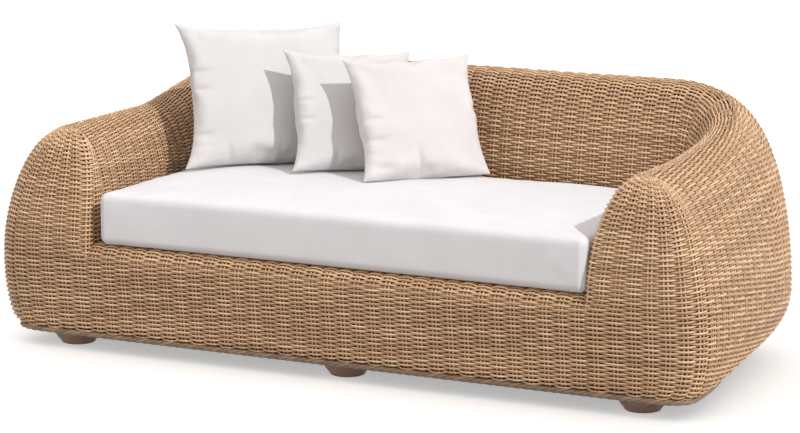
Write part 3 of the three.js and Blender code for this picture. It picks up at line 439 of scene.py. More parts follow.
def addPiece(name, points, faces, uv=None, tone=None, bodyName="sofa_body"):
    # numpy arrays in millimetres put into a mesh object
    mesh = bpy.data.meshes.new(name)
    mesh.vertices.add(len(points))
    mesh.vertices.foreach_set("co", (points * 0.001).astype(np.float32).ravel())
    mesh.loops.add(faces.size)
    mesh.loops.foreach_set("vertex_index", faces.astype(np.int32).ravel())
    mesh.polygons.add(len(faces))
    mesh.polygons.foreach_set("loop_start", np.arange(len(faces), dtype=np.int32) * faces.shape[1])
    mesh.polygons.foreach_set("use_smooth", np.ones(len(faces), bool))
    if uv is not None:
        layer = mesh.uv_layers.new(name="OFBake")
        layer.data.foreach_set("uv", uv.astype(np.float32).ravel())
    if tone is not None:
        mesh.attributes.new("tone", "FLOAT", "POINT").data.foreach_set("value", tone.astype(np.float32).ravel())
    mesh.update(calc_edges=True)
    mesh.validate()
    piece = bpy.data.objects.new(name, mesh)
    bpy.context.scene.collection.objects.link(piece)
    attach(piece, bodyName)
    return piece


def joinParts(parts):
    # several lists of points and faces made into one, each with its own band of the flat map
    points, faces, uvs, tones = zip(*parts)
    starts = np.cumsum([0] + [len(p) for p in points])
    faces = [f + start for f, start in zip(faces, starts)]
    uvs = [np.stack([uv[..., 0], (i + uv[..., 1] * 0.98) / len(parts)], -1) for i, uv in enumerate(uvs)]
    return [np.concatenate(arrays) for arrays in (points, faces, uvs, tones)]


rng = np.random.default_rng(cane["seed"])
toneTable = rng.random(4099)
rowShift = rng.normal(0, 1, 512)


def strandTone(row, k, sides):
    # each strand has its own shade, which drifts along it: one value for each vertex of its tube
    place = k / cane["toneLength"] + row * cane["toneRow"]
    low = np.floor(place).astype(int) % len(toneTable)
    tone = mix(toneTable[low], toneTable[(low + 1) % len(toneTable)], smooth(place % 1))
    return np.repeat(tone[..., None], sides, 2).ravel()


def weave(name, sheet, outward, kFrom, kTo, rows, stakeRows, nodes, parity=0, toneRate=1,
          width=cane["strandWidth"], thickness=cane["strandThickness"], sides=cane["sides"]):
    # a strand's line lies off the sheet by swing * flatTop(cos(pi * (stake + row))), so it passes
    # over one stake and under the next, and the row beside it does the opposite
    count = max(int(round((kTo - kFrom) * cane["samples"])), 2) + 1
    rows = np.array(rows)[:, None]
    k = np.linspace(kFrom, kTo, count)[None] * np.ones((len(rows), 1))
    row = rows + 0 * k
    drift = np.sin(k * cane["sagRate"] + rowShift[rows * 7 % len(rowShift)] * cane["sagPhase"])
    sagged = row + cane["sag"] / 6 * (rowShift[rows % len(rowShift)] + drift)
    place, normal, stakeStep, rowStep, _ = sheetFrame(sheet, k, sagged + 0.5, outward)
    wave = np.cos(np.pi * (k + row + parity))
    wave = np.tanh(cane["flatTop"] * wave) / np.tanh(cane["flatTop"])
    room = smooth(stakeStep / cane["fullPitch"])
    lift = cane["swing"] * room * wave - cane["sink"]
    lines = place + normal * lift[..., None]
    strandWidth = np.minimum(width, cane["rowFill"] * rowStep)
    strandThick = thickness * np.clip(strandWidth / width, cane["thinnest"], 1) * mix(cane["packed"], 1, room)
    points, faces, uv = tubes(lines, normal, strandWidth, strandThick, sides)
    parts = [(points, faces, uv, strandTone(row, k * toneRate, sides))]

    stakes = np.arange(math.ceil(kFrom), math.floor(kTo) + 1, dtype=float)
    first, last = stakeRows
    r = np.linspace(first, last, max(int((last - first) / cane["stakeSample"]), 4))
    ks, r = np.meshgrid(stakes, r, indexing="ij")
    place, normal, stakeStep, _, sideways = sheetFrame(sheet, ks, r, outward)
    thick = np.minimum(cane["stakeDiameter"], cane["stakeShare"] * stakeStep)
    for side in (-1, 1):
        spread = side * np.minimum(cane["stakeSpread"], cane["spreadShare"] * stakeStep)
        lines = place + sideways * spread[..., None] - normal * cane["sink"]
        points, faces, uv = tubes(lines, normal, thick, thick, cane["stakeSides"])
        tone = strandTone(ks * 3 + side, r / cane["toneLength"], cane["stakeSides"])
        parts.append((points, faces, uv, mix(cane["stakeShade"], 1, tone)))
    piece = addPiece(name, *joinParts(parts))
    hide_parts(*nodes)
    return piece


lowRows = int((rollStart - body["skinBottom"]) / frontRow)
splitRow = outer["rows"] - lowRows
canePieces = []


def weaveWall(wall, part, sheet, outward, backEnd, wallEnd, rows, stakeRows):
    # a wall in three pieces, which meet on top of a stake, where the strands lie level, and lap a little
    lap, short = cane["lap"], cane["short"]
    for side, kFrom, kTo in (("back", short - backEnd, backEnd - short), ("right", backEnd - lap, wallEnd),
                             ("left", -wallEnd, lap - backEnd)):
        node = f"{wall}_weave_{side}"
        canePieces.append(weave(node + part, sheet, outward, kFrom, kTo, rows, stakeRows, [node]))


weaveWall("outer", "_upper", outerSheet, 1, backK, postEnd, range(splitRow), (0.2, splitRow))
weaveWall("outer", "_lower", outerSheet, 1, backK, outerEnd, range(splitRow, outer["rows"]),
          (splitRow, outer["rows"]))
print("outer walls woven")
weaveWall("inner", "", innerSheet, -1, innerBackK, innerEnd, range(inner["rows"]), (0.2, inner["rows"]))
apronWide = apronEnd + cane["lap"]
canePieces.append(weave("apron_weave", apronSheet, -1, -apronWide, apronWide, range(apronFirst, outer["rows"]),
                        (apronFirst, outer["rows"]), ["apron_weave"], parity=apronTurn,
                        toneRate=outerEnd / apronEnd))
deckWide = (body["tipHalfWidth"] - body["innerReach"] - deck["ease"]) / deck["pitch"]
canePieces.append(weave("seat_deck_weave", deckSheet, -1, -deckWide, deckWide, range(0, deckRows),
                        (0, deckRows), ["seat_deck_weave"], width=deck["bandWidth"],
                        thickness=deck["bandThickness"], sides=4))
print("inner walls, apron and deck woven")

# Painted shade: a dark sheet behind the cane stands in for the shadowed inside, which shows through the holes of the
# weave
paintedShade = {"depth": 10.5, "packed": 0.45, "thickness": 1.5, "perStake": 1.5, "rowStep": 3, "skirt": 10}


def paintedShadeSheet(sheet, outward, kFrom, kTo, rFrom, rTo, skirt=0):
    # a thin closed sheet of painted shade at an even depth behind the woven one, its last row let down by a skirt
    k = np.linspace(kFrom, kTo, int((kTo - kFrom) * paintedShade["perStake"]) + 2)
    r = np.linspace(rFrom, rTo, int((rTo - rFrom) / paintedShade["rowStep"]) + 2)
    k, r = np.meshgrid(k, r, indexing="ij")
    place, normal, stakeStep, _, _ = sheetFrame(sheet, k, r, outward)
    depth = paintedShade["depth"] * mix(paintedShade["packed"], 1, smooth(stakeStep / cane["fullPitch"]))
    near = place - normal * depth[..., None]
    near[:, -1, 2] -= skirt
    far = near - normal * paintedShade["thickness"]
    index = np.arange(k.size).reshape(k.shape)
    front = gridFaces(index)
    ring = np.concatenate([index[:-1, 0], index[-1, :-1], index[:0:-1, -1], index[0, :0:-1]])
    if outward < 0:
        front, ring = front[:, ::-1], ring[::-1]
    after = np.roll(ring, -1)
    sides = np.stack([after, ring, ring + k.size, after + k.size], 1)
    faces = np.concatenate([front, front[:, ::-1] + k.size, sides])
    points = np.concatenate([near.reshape(-1, 3), far.reshape(-1, 3)])
    flat = np.stack([(k - kFrom) / (kTo - kFrom), (r - rFrom) / (rTo - rFrom)], -1).reshape(-1, 2)
    # the front on one half of the flat map, the rear on the other
    flat = np.concatenate([flat * [0.49, 1], flat * [0.49, 1] + [0.5, 0]])
    return points, faces, flat[faces], np.zeros(len(points))


topRow, footRow = 1.5, outer["rows"] - 0.5
# painted shade: dark sheets behind the outer walls, inner walls and apron, and under the deck, for the shadowed inside
# and holes of the weave
paintedShadePiece = addPiece("weave_paintedShade", *joinParts([
    paintedShadeSheet(outerSheet, 1, -postEnd, postEnd, topRow, splitRow),
    paintedShadeSheet(outerSheet, 1, -outerEnd, outerEnd, splitRow, footRow, paintedShade["skirt"]),
    paintedShadeSheet(innerSheet, -1, -innerEnd, innerEnd, topRow, inner["rows"] - 0.5),
    paintedShadeSheet(apronSheet, -1, -apronEnd, apronEnd, apronFirst + 1, footRow, paintedShade["skirt"]),
    paintedShadeSheet(deckUnder, -1, -deckWide, deckWide, 0, deckRows),
]))
print("lining set")

# The border: three canes twisted into a braid round the foot of the walls
border = {"diameter": 18, "bottom": 40.5, "strand": 9.4, "lay": 78, "step": 4.0, "inset": 1.5, "canes": 3,
          "wide": 1.15, "flat": 0.85, "sides": 6, "toneLength": 45, "toneFirst": 900}


def borderPath():
    # the foot of the walls in plan, right half and mirrored left half, joined across the front
    u = np.concatenate([np.linspace(-body["flatEnd"], 0, 400), np.linspace(0, crestLength, 1200)[1:]])
    right = outerWall(u, np.ones_like(u))[:, :2]
    left = right[::-1][1:] * [-1, 1]
    around = np.concatenate([right, left, right[:1]])
    length = arcLength(around)
    place = np.linspace(0, length[-1], int(length[-1] / border["step"]))
    return np.stack(atEach(place, length, around), 1), place


def borderBraid():
    # each cane circles the path: place + side * cos(turn) * radius + up * sin(turn) * radius
    path, place = borderPath()
    along = unit(np.roll(path, -1, 0)[:-1] - path[:-1])
    along = np.concatenate([along, along[:1]])
    side = np.stack([along[:, 1], -along[:, 0], 0 * place], 1)
    level = border["bottom"] + border["diameter"] / 2 + 0 * place
    middle = np.stack([*path.T, level], 1) - side * border["inset"]
    turns = round(place[-1] / border["lay"])
    canes = np.arange(border["canes"])[:, None]
    turn = 2 * np.pi * (turns * place / place[-1] + canes / border["canes"])[..., None]
    normals = side * np.cos(turn) + np.array([0, 0, 1]) * np.sin(turn)
    lines = middle + normals * (border["diameter"] - border["strand"]) / 2
    width = np.full(lines.shape[:2], border["strand"] * border["wide"])
    points, faces, uv = tubes(lines, normals, width, width * border["flat"], border["sides"])
    tone = strandTone(canes + border["toneFirst"], place / border["toneLength"], border["sides"])
    return points, faces, uv, tone


borderPiece = addPiece("border_braid_canes", *borderBraid())
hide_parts("border_braid")
print("border braided")

# The feet: turned discs of brown plastic, wide on top and drawn in below
foot = {"top": 132, "bottom": 97, "shoulder": 34, "height": 59.7, "edge": 6, "recess": 24, "depth": 15,
        "hole": 8.8, "around": 64, "bow": 0.16, "crown": 3, "lip": 0.8}


def footForm(x, y):
    # a profile turned about the upright axis: from the rim of the sole up to the crown, and down
    # again inside the screw's hole
    edge = np.linspace(0, np.pi / 2, 7)
    low = np.stack([foot["bottom"] / 2 - foot["edge"] * (1 - np.sin(edge)), foot["edge"] * (1 - np.cos(edge))], 1)
    rise = np.linspace(0, 1, 9)[1:]
    taper = np.stack([mix(foot["bottom"] / 2, foot["top"] / 2, rise + foot["bow"] * np.sin(rise * np.pi)),
                      mix(foot["edge"], foot["shoulder"], rise)], 1)
    crown = np.stack([foot["top"] / 2 - foot["crown"] * (1 - np.cos(edge)),
                      foot["height"] - foot["crown"] * (1 - np.sin(edge))], 1)
    inner, recess = foot["hole"] / 2, foot["recess"] / 2
    hole = [[inner, foot["height"]], [inner, foot["depth"]], [recess, foot["depth"]], [recess, foot["lip"]],
            [recess + foot["lip"], 0]]
    profile = np.concatenate([low, taper, crown, hole])
    angle = np.arange(foot["around"]) / foot["around"] * 2 * np.pi
    points = np.stack([x + profile[:, 0, None] * np.cos(angle), y + profile[:, 0, None] * np.sin(angle),
                       profile[:, 1, None] + 0 * angle], -1)
    index = np.arange(points[..., 0].size).reshape(points.shape[:2])
    down = np.roll(index, -1, 0)
    faces = np.stack([index, np.roll(index, -1, 1), np.roll(down, -1, 1), down], -1).reshape(-1, 4)
    return points.reshape(-1, 3), faces


footPieces = []
for nodeName in sorted(n for n in frame["nodes"] if n.endswith("_foot")):
    low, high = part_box(nodeName)
    middle = (low + high) * 500
    piece = addPiece(nodeName + "_turned", *footForm(middle.x, middle.y))
    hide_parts(nodeName)
    footPieces.append(piece)
print("feet turned")

# The seat cushion: a long foam block in a wrapped cover with sewn-in end panels
seat = {
    "width": 1420, "depth": 718, "height": 150, "radius": 17, "crown": 15, "drawIn": 7, "step": 13,
    "wallGap": 9.5, "frontGap": 11, "backGap": 20, "above": 0.3, "wider": 6, "aside": 14,
    "pressure": 2.2, "swell": 5, "frames": 16, "tension": 12, "bending": 0.6,
    "seamInset": 9, "seamDepth": 2.4, "seamSpread": 3.2, "besideSeam": 7, "besideShare": 0.55, "besideSpread": 4,
    "gatherInset": 24, "gatherSpread": 16, "gatherDepth": 1.1, "waveHeight": 1.6,
    "pipeHeight": 14, "pipeSpread": 3, "pipeDepth": 1.6,
}
cushionFrontY = frontFaceY + seat["frontGap"]
cushionBackY = crestBackY - body["innerReach"] - seat["backGap"]


def blockGrid(counts):
    # the six faces of a block as grids from -1 to 1, their shared edges joined
    faces, points, start = [], [], 0
    for axis in range(3):
        a, b = (axis + 1) % 3, (axis + 2) % 3
        for sign in (-1, 1):
            ta, tb = np.linspace(-1, 1, counts[a] + 1), np.linspace(-1, 1, counts[b] + 1)
            grid = np.zeros((counts[a] + 1, counts[b] + 1, 3))
            grid[..., axis], grid[..., a], grid[..., b] = sign, ta[:, None], tb[None, :]
            index = start + np.arange(grid[..., 0].size).reshape(grid.shape[:2])
            faces.append(gridFaces(index)[:, ::sign])
            points.append(grid.reshape(-1, 3))
            start += grid[..., 0].size
    points, faces = np.concatenate(points), np.concatenate(faces)
    _, first, back = np.unique(np.round(points, 6), axis=0, return_index=True, return_inverse=True)
    return points[first], back.ravel()[faces]


def seatBlock():
    # a block with round edges: the nearest place of its core plus a radius outwards, crowned on
    # top, its sides drawn in between the corners and its rear corners following the walls
    size = np.array([seat["width"], seat["depth"], seat["height"]])
    half, radius, drawIn = size / 2, seat["radius"], seat["drawIn"]
    grid, faces = blockGrid([int(side / seat["step"]) // 2 * 2 for side in size])
    points = grid * half
    near = np.clip(points, -(half - radius), half - radius)
    away = points - near
    length = np.linalg.norm(away, axis=1, keepdims=True)
    points = np.where(length > 0, near + away / np.maximum(length, 1e-9) * radius, points)
    middleY = (cushionFrontY + cushionBackY) / 2
    sx, sy = points[:, 0] / half[0], points[:, 1] / half[1]
    wall = seatHalf(points[:, 1] + middleY) - seat["wallGap"]
    points[:, 0] *= np.minimum(1, wall / half[0])
    crown = seat["crown"] * (1 - sx ** 4) * (1 - sy ** 4)
    points[:, 2] += np.where(points[:, 2] > 0, crown * points[:, 2] / half[2], 0)
    points[:, 0] -= np.sign(sx) * sx * sx * drawIn * (1 - sy * sy)
    points[:, 1] -= np.sign(sy) * sy * sy * drawIn * (1 - sx * sx)
    points += [0, middleY, body["deckHeight"] + seat["above"] + half[2]]
    return points, faces


def readPoints(mesh):
    flat = np.empty(len(mesh.vertices) * 3)
    mesh.vertices.foreach_get("co", flat)
    return flat.reshape(-1, 3) * 1000


def writePoints(piece, points):
    piece.data.vertices.foreach_set("co", (points * 0.001).ravel())
    piece.data.update()


def evaluated(piece):
    return piece.evaluated_get(bpy.context.evaluated_depsgraph_get())


def inflate(piece, spec, cap):
    # cloth under inner pressure, its movement capped where a cap is given, applied to the mesh
    before = readPoints(piece.data)
    modifier = piece.modifiers.new("Cloth", "CLOTH")
    cloth = modifier.settings
    cloth.quality = 6
    cloth.mass = 0.25
    cloth.tension_stiffness = cloth.compression_stiffness = spec["tension"]
    cloth.shear_stiffness = spec["tension"] / 2
    cloth.bending_stiffness = spec["bending"]
    cloth.use_pressure = True
    cloth.uniform_pressure_force = spec["pressure"]
    cloth.effector_weights.gravity = 0
    modifier.collision_settings.use_collision = False
    modifier.point_cache.frame_end = spec["frames"]
    for number in range(1, spec["frames"] + 1):
        bpy.context.scene.frame_set(number)
    shift = readPoints(evaluated(piece).to_mesh()) - before
    piece.modifiers.remove(modifier)
    bpy.context.scene.frame_set(1)
    if cap:
        shift *= np.minimum(1, cap / np.maximum(np.linalg.norm(shift, axis=1, keepdims=True), 1e-6))
    writePoints(piece, before + shift)


def subdivide(piece):
    # rounds the mesh once and applies it
    modifier = piece.modifiers.new("Subdivision", "SUBSURF")
    modifier.levels = modifier.render_levels = 1
    finished = bpy.data.meshes.new_from_object(evaluated(piece))
    old = piece.data
    piece.modifiers.remove(modifier)
    piece.data = finished
    finished.name = piece.name
    bpy.data.meshes.remove(old)
    finished.polygons.foreach_set("use_smooth", np.ones(len(finished.polygons), bool))


def coverBox(node):
    # the two corners of a solid in the frame, in millimetres
    return (np.array(corner) * 1000 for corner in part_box(node))


cushionPoints, cushionFaces = seatBlock()
cushion = addPiece("seat_cushion_soft", cushionPoints, cushionFaces, bodyName="seat_cushion")
inflate(cushion, seat, seat["swell"])
subdivide(cushion)


def cushionFinish(points):
    # seams: shallow grooves where the end panels join the wrapped cover, with gathers beside them, a
    # seam along the foot of the front, and broad soft waves over the top
    low, high = points.min(0), points.max(0)
    half = (high - low) / 2
    middle = (low + high) / 2
    x, y, z = (points - middle).T
    bump = lambda distance, spread: np.exp(-(distance / spread) ** 2)
    edge = np.minimum(half[0], seatHalf(points[:, 1]) - seat["wallGap"]) - np.abs(x)
    groove = (bump(edge - seat["seamInset"], seat["seamSpread"])
              - seat["besideShare"] * bump(edge - seat["seamInset"] - seat["besideSeam"], seat["besideSpread"]))
    front = smooth((-y / half[1] - 0.9) / 0.08)
    gather = bump(edge - seat["gatherInset"], seat["gatherSpread"]) * np.sin(z * 0.42 + 1.3 * np.sin(x * 0.02)) * front
    wave = np.sin(x * 0.0105 + 0.6) * np.sin(y * 0.012 + 1.1) + 0.6 * np.sin(x * 0.023 + y * 0.017)
    pipe = bump(z + half[2] - seat["pipeHeight"], seat["pipeSpread"]) * front
    inward = unit((middle - points) * [0.1, 1, 1])
    depth = seat["seamDepth"] * groove - seat["gatherDepth"] * gather + seat["pipeDepth"] * pipe
    moved = points + inward * depth[:, None]
    moved[:, 2] += seat["waveHeight"] * wave * smooth((z / half[2] - 0.5) / 0.4)
    return moved


def fitInto(points, low, high):
    # stretched a little so that it fills the space of its solid in the frame
    least, most = points.min(0), points.max(0)
    return (points - (least + most) / 2) * (high - low) / (most - least) + (low + high) / 2


fitted = fitInto(cushionFinish(readPoints(cushion.data)), *coverBox("seat_cushion_cover"))
fitted[:, 0] += seat["aside"] + seat["wider"] * fitted[:, 0] / fitted[:, 0].max()
writePoints(cushion, fitted)
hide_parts("seat_cushion_cover", "seat_cushion_foam", "seat_cushion_zip")
print("seat cushion filled")

# The pillows: two square sheets sewn round the edge and filled
pillows = {
    "corner_pillow": {"width": 498, "height": 433, "thick": 136, "x": -468, "y": 40.5, "turn": 44, "lean": 23,
                      "tilt": -1.5, "sag": (0.092, 0.034, 0.050, 0.030),
                      "dents": ((-186, -120, 26, 8, 8), (-190, 10, 24, 7, 8), (-188, 62, 26, 7, 7),
                                (-120, -176, 8, 22, 8), (-46, -180, 7, 20, 8), (24, -178, 8, 24, 8),
                                (112, -176, 7, 22, 8))},
    "middle_pillow": {"width": 380, "height": 363, "thick": 110, "x": -196, "y": 50.5, "turn": 46, "lean": 26,
                      "tilt": -3.5, "sag": (0.077, 0.040, 0.050, 0.020),
                      "dents": ((-144, -36, 24, 7, 8), (-142, 18, 22, 6, 7), (-60, -150, 7, 20, 7))},
    "front_pillow": {"width": 380, "height": 363, "thick": 110, "x": 35, "y": 30.5, "turn": 47, "lean": 29,
                     "tilt": 0, "sag": (0.060, 0.054, 0.045, 0.000),
                     "dents": ((-28, -146, 8, 30, 11), (-84, -146, 30, 18, -7), (-142, -14, 26, 7, 9),
                               (-138, -72, 30, 7, 9), (-126, -150, 24, 9, 8))},
}
pillowCloth = {
    "grid": 62, "oversize": 1.05, "convex": 0.02, "bulge": 6, "pressure": 1.6, "frames": 30, "tension": 14,
    "bending": 0.1, "rest": 454, "sink": 7, "contact": 0.6, "cell": 12, "earPower": 3.2, "calming": 5,
    "foldStep": 15, "foldReach": 38, "foldHeight": 4.6, "foldLevel": 0.3, "seamShare": 0.16, "seed": 5,
    "lensHeight": 60, "lensEdge": 2.4, "lensCurve": 0.62,
}


def pillowSheets(width, height, count):
    # two grids that share their border, cut a little full along the sides and bulged so that the
    # filling opens them; each vertex keeps its share across and up the sheet
    t = np.linspace(-1, 1, count + 1)
    a, b = np.meshgrid(t, t, indexing="ij")
    bulge = (1 - a * a) * (1 - b * b)
    convex = pillowCloth["convex"]
    face = np.stack([a * (1 + convex * (1 - b * b)) * width / 2, b * (1 + convex * (1 - a * a)) * height / 2,
                     pillowCloth["bulge"] * bulge], -1).reshape(-1, 3)
    index = np.arange((count + 1) ** 2).reshape(count + 1, -1)
    border = np.zeros_like(index, bool)
    border[0] = border[-1] = border[:, 0] = border[:, -1] = True
    other = np.where(border, index, 0)
    other[~border] = index.size + np.arange((~border).sum())
    rear = face[~border.ravel()] * [1, 1, -1]
    shares = np.stack([a, b], -1).reshape(-1, 2)
    return (np.concatenate([face, rear]), np.concatenate([gridFaces(index), gridFaces(other)[:, ::-1]]),
            np.concatenate([shares, shares[~border.ravel()]]))


def pillowAxes(spec):
    # right, up and facing directions of a pillow that is turned, leant back and tilted
    turn, lean, tilt = (math.radians(spec[key]) for key in ("turn", "lean", "tilt"))
    across = np.array([math.cos(turn), math.sin(turn), 0])
    up = np.array([-math.sin(turn) * math.sin(lean), math.cos(turn) * math.sin(lean), math.cos(lean)])
    right = across * math.cos(tilt) + up * math.sin(tilt)
    rise = up * math.cos(tilt) - across * math.sin(tilt)
    return np.stack([right, rise, np.cross(right, rise)])


def pillowShape(points, shares, spec):
    # the filled sheets brought to the pillow's size: each side of the seam is moved to its own sag
    # (left, right, top, bottom) and the faces follow it in proportion
    size = spec["width"], spec["height"]
    count = pillowCloth["grid"] + 1
    border = np.arange(count * count).reshape(count, count)
    place = np.linspace(-1, 1, count)
    bow = 1 - np.abs(place) ** pillowCloth["earPower"]
    wanted = {}
    for (axis, end), sag in zip(((0, 0), (0, 1), (1, 1), (1, 0)), spec["sag"]):
        goal = wanted[axis, end] = np.zeros((count, 3))
        goal[:, axis] = (2 * end - 1) * (size[axis] / 2 - sag * size[1 - axis] * bow)
        goal[:, 1 - axis] = place * size[1 - axis] / 2
    # the move of each side, blended between opposite sides, less the blend of the corners' moves
    shaped = points.copy()
    share = (1 + shares) / 2
    for (axis, end), goal in wanted.items():
        side = border[-end] if axis == 0 else border[:, -end]
        move = goal - points[side]
        weight = (share[:, axis] if end else 1 - share[:, axis])[:, None]
        shaped += np.stack(atEach(shares[:, 1 - axis], place, move), 1) * weight
        if axis == 0:
            shaped -= mix(move[0], move[-1], share[:, 1:]) * weight
    # nothing hangs over the seam: each place stays between the curves of opposite sides
    for axis in (0, 1):
        low, high = (np.interp(shaped[:, 1 - axis], side[:, 1 - axis], side[:, axis])
                     for side in (wanted[axis, 0], wanted[axis, 1]))
        shaped[:, axis] = np.clip(shaped[:, axis], low, high)
    shaped[:, 2] *= spec["thick"] / np.ptp(shaped[:, 2])
    return shaped


def calm(points):
    # small creases taken out: each inner place of both sheets goes half way to its neighbours' mean
    count = pillowCloth["grid"] + 1
    front = np.arange(count * count).reshape(count, count)
    rear = front.copy()
    rear[1:-1, 1:-1] = count * count + np.arange((count - 2) ** 2).reshape(count - 2, -1)
    for _ in range(pillowCloth["calming"]):
        for sheet in (front, rear):
            grid = points[sheet]
            mean = (grid[:-2, 1:-1] + grid[2:, 1:-1] + grid[1:-1, :-2] + grid[1:-1, 2:]) / 4
            points[sheet[1:-1, 1:-1]] = mix(grid[1:-1, 1:-1], mean, 0.5)
    return points


def pillowFolds(points, shares, spec, folds):
    # small folds that start at the seam, square to it: the height of a row of random steps along
    # the side, fading with the square of the distance from the seam
    size = [spec["width"], spec["height"]]
    lift = np.zeros(len(points))
    for axis in (0, 1):
        for sign in (-1, 1):
            along = shares[:, 1 - axis] * size[1 - axis] / 2
            away = (1 - sign * shares[:, axis]) * size[axis] / 2
            place = along / pillowCloth["foldStep"] + 60 + 120 * (axis + sign + 1)
            low = np.floor(place).astype(int)
            height = mix(folds[low], folds[low + 1], smooth(place - low))
            away = away / (pillowCloth["foldReach"] * (0.6 + 0.8 * folds[low // 3 + 700]))
            lift += height * np.exp(-away ** 2) * (1 - np.exp(-(away / pillowCloth["seamShare"]) ** 2))
    face = np.where(points[:, 2] < 0, -1, 1)
    dents = np.zeros(len(points))
    for x, y, wide, high, depth in spec["dents"]:
        dents += depth * np.exp(-((points[:, 0] - x) / wide) ** 2 - ((points[:, 1] - y) / high) ** 2)
    lift = (lift - pillowCloth["foldLevel"]) * pillowCloth["foldHeight"] - np.where(face > 0, dents, 0)
    points[:, 2] += face * lift * smooth(np.abs(points[:, 2]) / 6)
    return points


def heightUnder(points):
    # height of the cushion's top below each place, from the highest of its vertices in square cells
    top = readPoints(cushion.data)
    top = top[top[:, 2] > np.mean([top[:, 2].min(), top[:, 2].max()])]
    cell = lambda places: ((places[:, :2] - top.min(0)[:2]) / pillowCloth["cell"]).astype(int)
    cells = cell(top)
    highest = np.zeros(cells.max(0) + 1)
    np.maximum.at(highest, (cells[:, 0], cells[:, 1]), top[:, 2])
    place = np.clip(cell(points), 0, cells.max(0))
    return highest[place[:, 0], place[:, 1]]


pillowPieces = []
foldTable = np.random.default_rng(pillowCloth["seed"]).random((len(pillows), 900))
for (pillowName, spec), folds in zip(pillows.items(), foldTable):
    oversize = pillowCloth["oversize"]
    points, faces, shares = pillowSheets(spec["width"] * oversize, spec["height"] * oversize, pillowCloth["grid"])
    pillow = addPiece(pillowName + "_soft", points, faces, bodyName=pillowName)
    inflate(pillow, pillowCloth, 0)
    shaped = calm(pillowShape(readPoints(pillow.data), shares, spec))
    writePoints(pillow, pillowFolds(shaped, shares, spec, folds))
    subdivide(pillow)
    axes = pillowAxes(spec)
    middle = [spec["x"], spec["y"], pillowCloth["rest"]] + axes[1] * spec["height"] / 2
    placed = readPoints(pillow.data) @ axes + middle
    low, high = coverBox(pillowName + "_cover")
    placed += ((low + high) - (placed.min(0) + placed.max(0))) / 2 - [0, 0, pillowCloth["sink"]]
    placed[:, 2] = np.maximum(placed[:, 2], heightUnder(placed) + pillowCloth["contact"])
    writePoints(pillow, placed)
    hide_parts(pillowName + "_cover", pillowName + "_fill", pillowName + "_zip")
    pillowPieces.append(pillow)
print("pillows filled")


def linear(hexColour):
    # sRGB hex to linear colour
    parts = [int(hexColour[i:i + 2], 16) / 255 for i in (1, 3, 5)]
    return (*[p / 12.92 if p <= 0.04045 else ((p + 0.055) / 1.055) ** 2.4 for p in parts], 1)


def emptyTree(owner):
    owner.use_nodes = True
    owner.node_tree.nodes.clear()
    return owner.node_tree


def addNode(tree, kind, settings, output=0):
    # one node with its settings, and a link where a setting is another node's output
    made = tree.nodes.new(kind)
    for key, value in settings.items():
        if isinstance(value, bpy.types.NodeSocket):
            tree.links.new(value, made.inputs[key])
        elif isinstance(key, int) or key in made.inputs:
            made.inputs[key].default_value = value
        else:
            setattr(made, key, value)
    return made.outputs[output] if made.outputs else made


def canePattern(tree, place):
    # each strand's shade with clouds, and with streaks that the bump follows
    shade = addNode(tree, "ShaderNodeAttribute", {"attribute_name": "tone"}, "Fac")
    cloud = addNode(tree, "ShaderNodeTexNoise", {"Scale": 1 / 0.09, "Detail": 3, "Vector": place})
    streak = addNode(tree, "ShaderNodeTexNoise", {"Scale": 1 / 0.006, "Detail": 2, "Vector": place})
    for source, share, level in ((cloud, 0.35, -0.17), (streak, 0.3, -0.15)):
        part = addNode(tree, "ShaderNodeMath", {"operation": "MULTIPLY_ADD", 0: source, 1: share, 2: level})
        shade = addNode(tree, "ShaderNodeMath", {"operation": "ADD", 0: shade, 1: part})
    return shade, streak


def canvasPattern(tree, place):
    # clouds in the colour, and threads that cross in the bump
    cloud = addNode(tree, "ShaderNodeTexNoise", {"Scale": 1 / 0.11, "Detail": 3, "Vector": place})
    across, up = (addNode(tree, "ShaderNodeTexWave", {
        "bands_direction": direction, "Scale": 2 / (0.0016 * 2 * math.pi), "Distortion": 0.4, "Detail": 1,
        "Vector": place}, "Fac") for direction in ("X", "Z"))
    return cloud, addNode(tree, "ShaderNodeMath", {"operation": "ADD", 0: across, 1: up})


def grainPattern(cloud, grain, detail):
    # clouds of one size in the colour, and grain of another in the bump
    return lambda tree, place: [
        addNode(tree, "ShaderNodeTexNoise", {"Scale": 1 / size, "Detail": rough, "Vector": place})
        for size, rough in ((cloud, 4), (grain, detail))]


def newMaterial(name, surface, stops, pattern, strength, distance):
    # colours on a ramp over one part of the pattern, and a bump from the other
    material = bpy.data.materials.new(name)
    tree = emptyTree(material)
    shade, height = pattern(tree, addNode(tree, "ShaderNodeTexCoord", {}, "Object"))
    colour = addNode(tree, "ShaderNodeValToRGB", {"Fac": shade})
    ramp = colour.node.color_ramp
    while len(ramp.elements) < len(stops):
        ramp.elements.new(0.5)
    for element, (place, hexColour) in zip(ramp.elements, stops):
        element.position = place
        element.color = linear(hexColour)
    bump = addNode(tree, "ShaderNodeBump", {"Strength": strength, "Distance": distance, "Height": height})
    shader = addNode(tree, "ShaderNodeBsdfPrincipled", {**surface, "Base Color": colour, "Normal": bump})
    addNode(tree, "ShaderNodeOutputMaterial", {"Surface": shader})
    return material


# Extruded polyethylene cane, streaked in the melt: a satin surface, tan with honey and pinkish strands
def caneMaterial(name, stops, roughness):
    surface = {"Roughness": roughness, "IOR": 1.55, "Specular IOR Level": 0.75}
    return newMaterial(name, surface, stops, canePattern, 0.25, 0.0006)


# Woven acrylic canvas: matt off-white, threads 0.6 mm apart, drawn wider so that they show
def canvasMaterial(name, light, dark):
    surface = {"Roughness": 0.9, "IOR": 1.45, "Specular IOR Level": 0.15}
    return newMaterial(name, surface, [(0.35, dark), (0.65, light)], canvasPattern, 0.12, 0.0003)


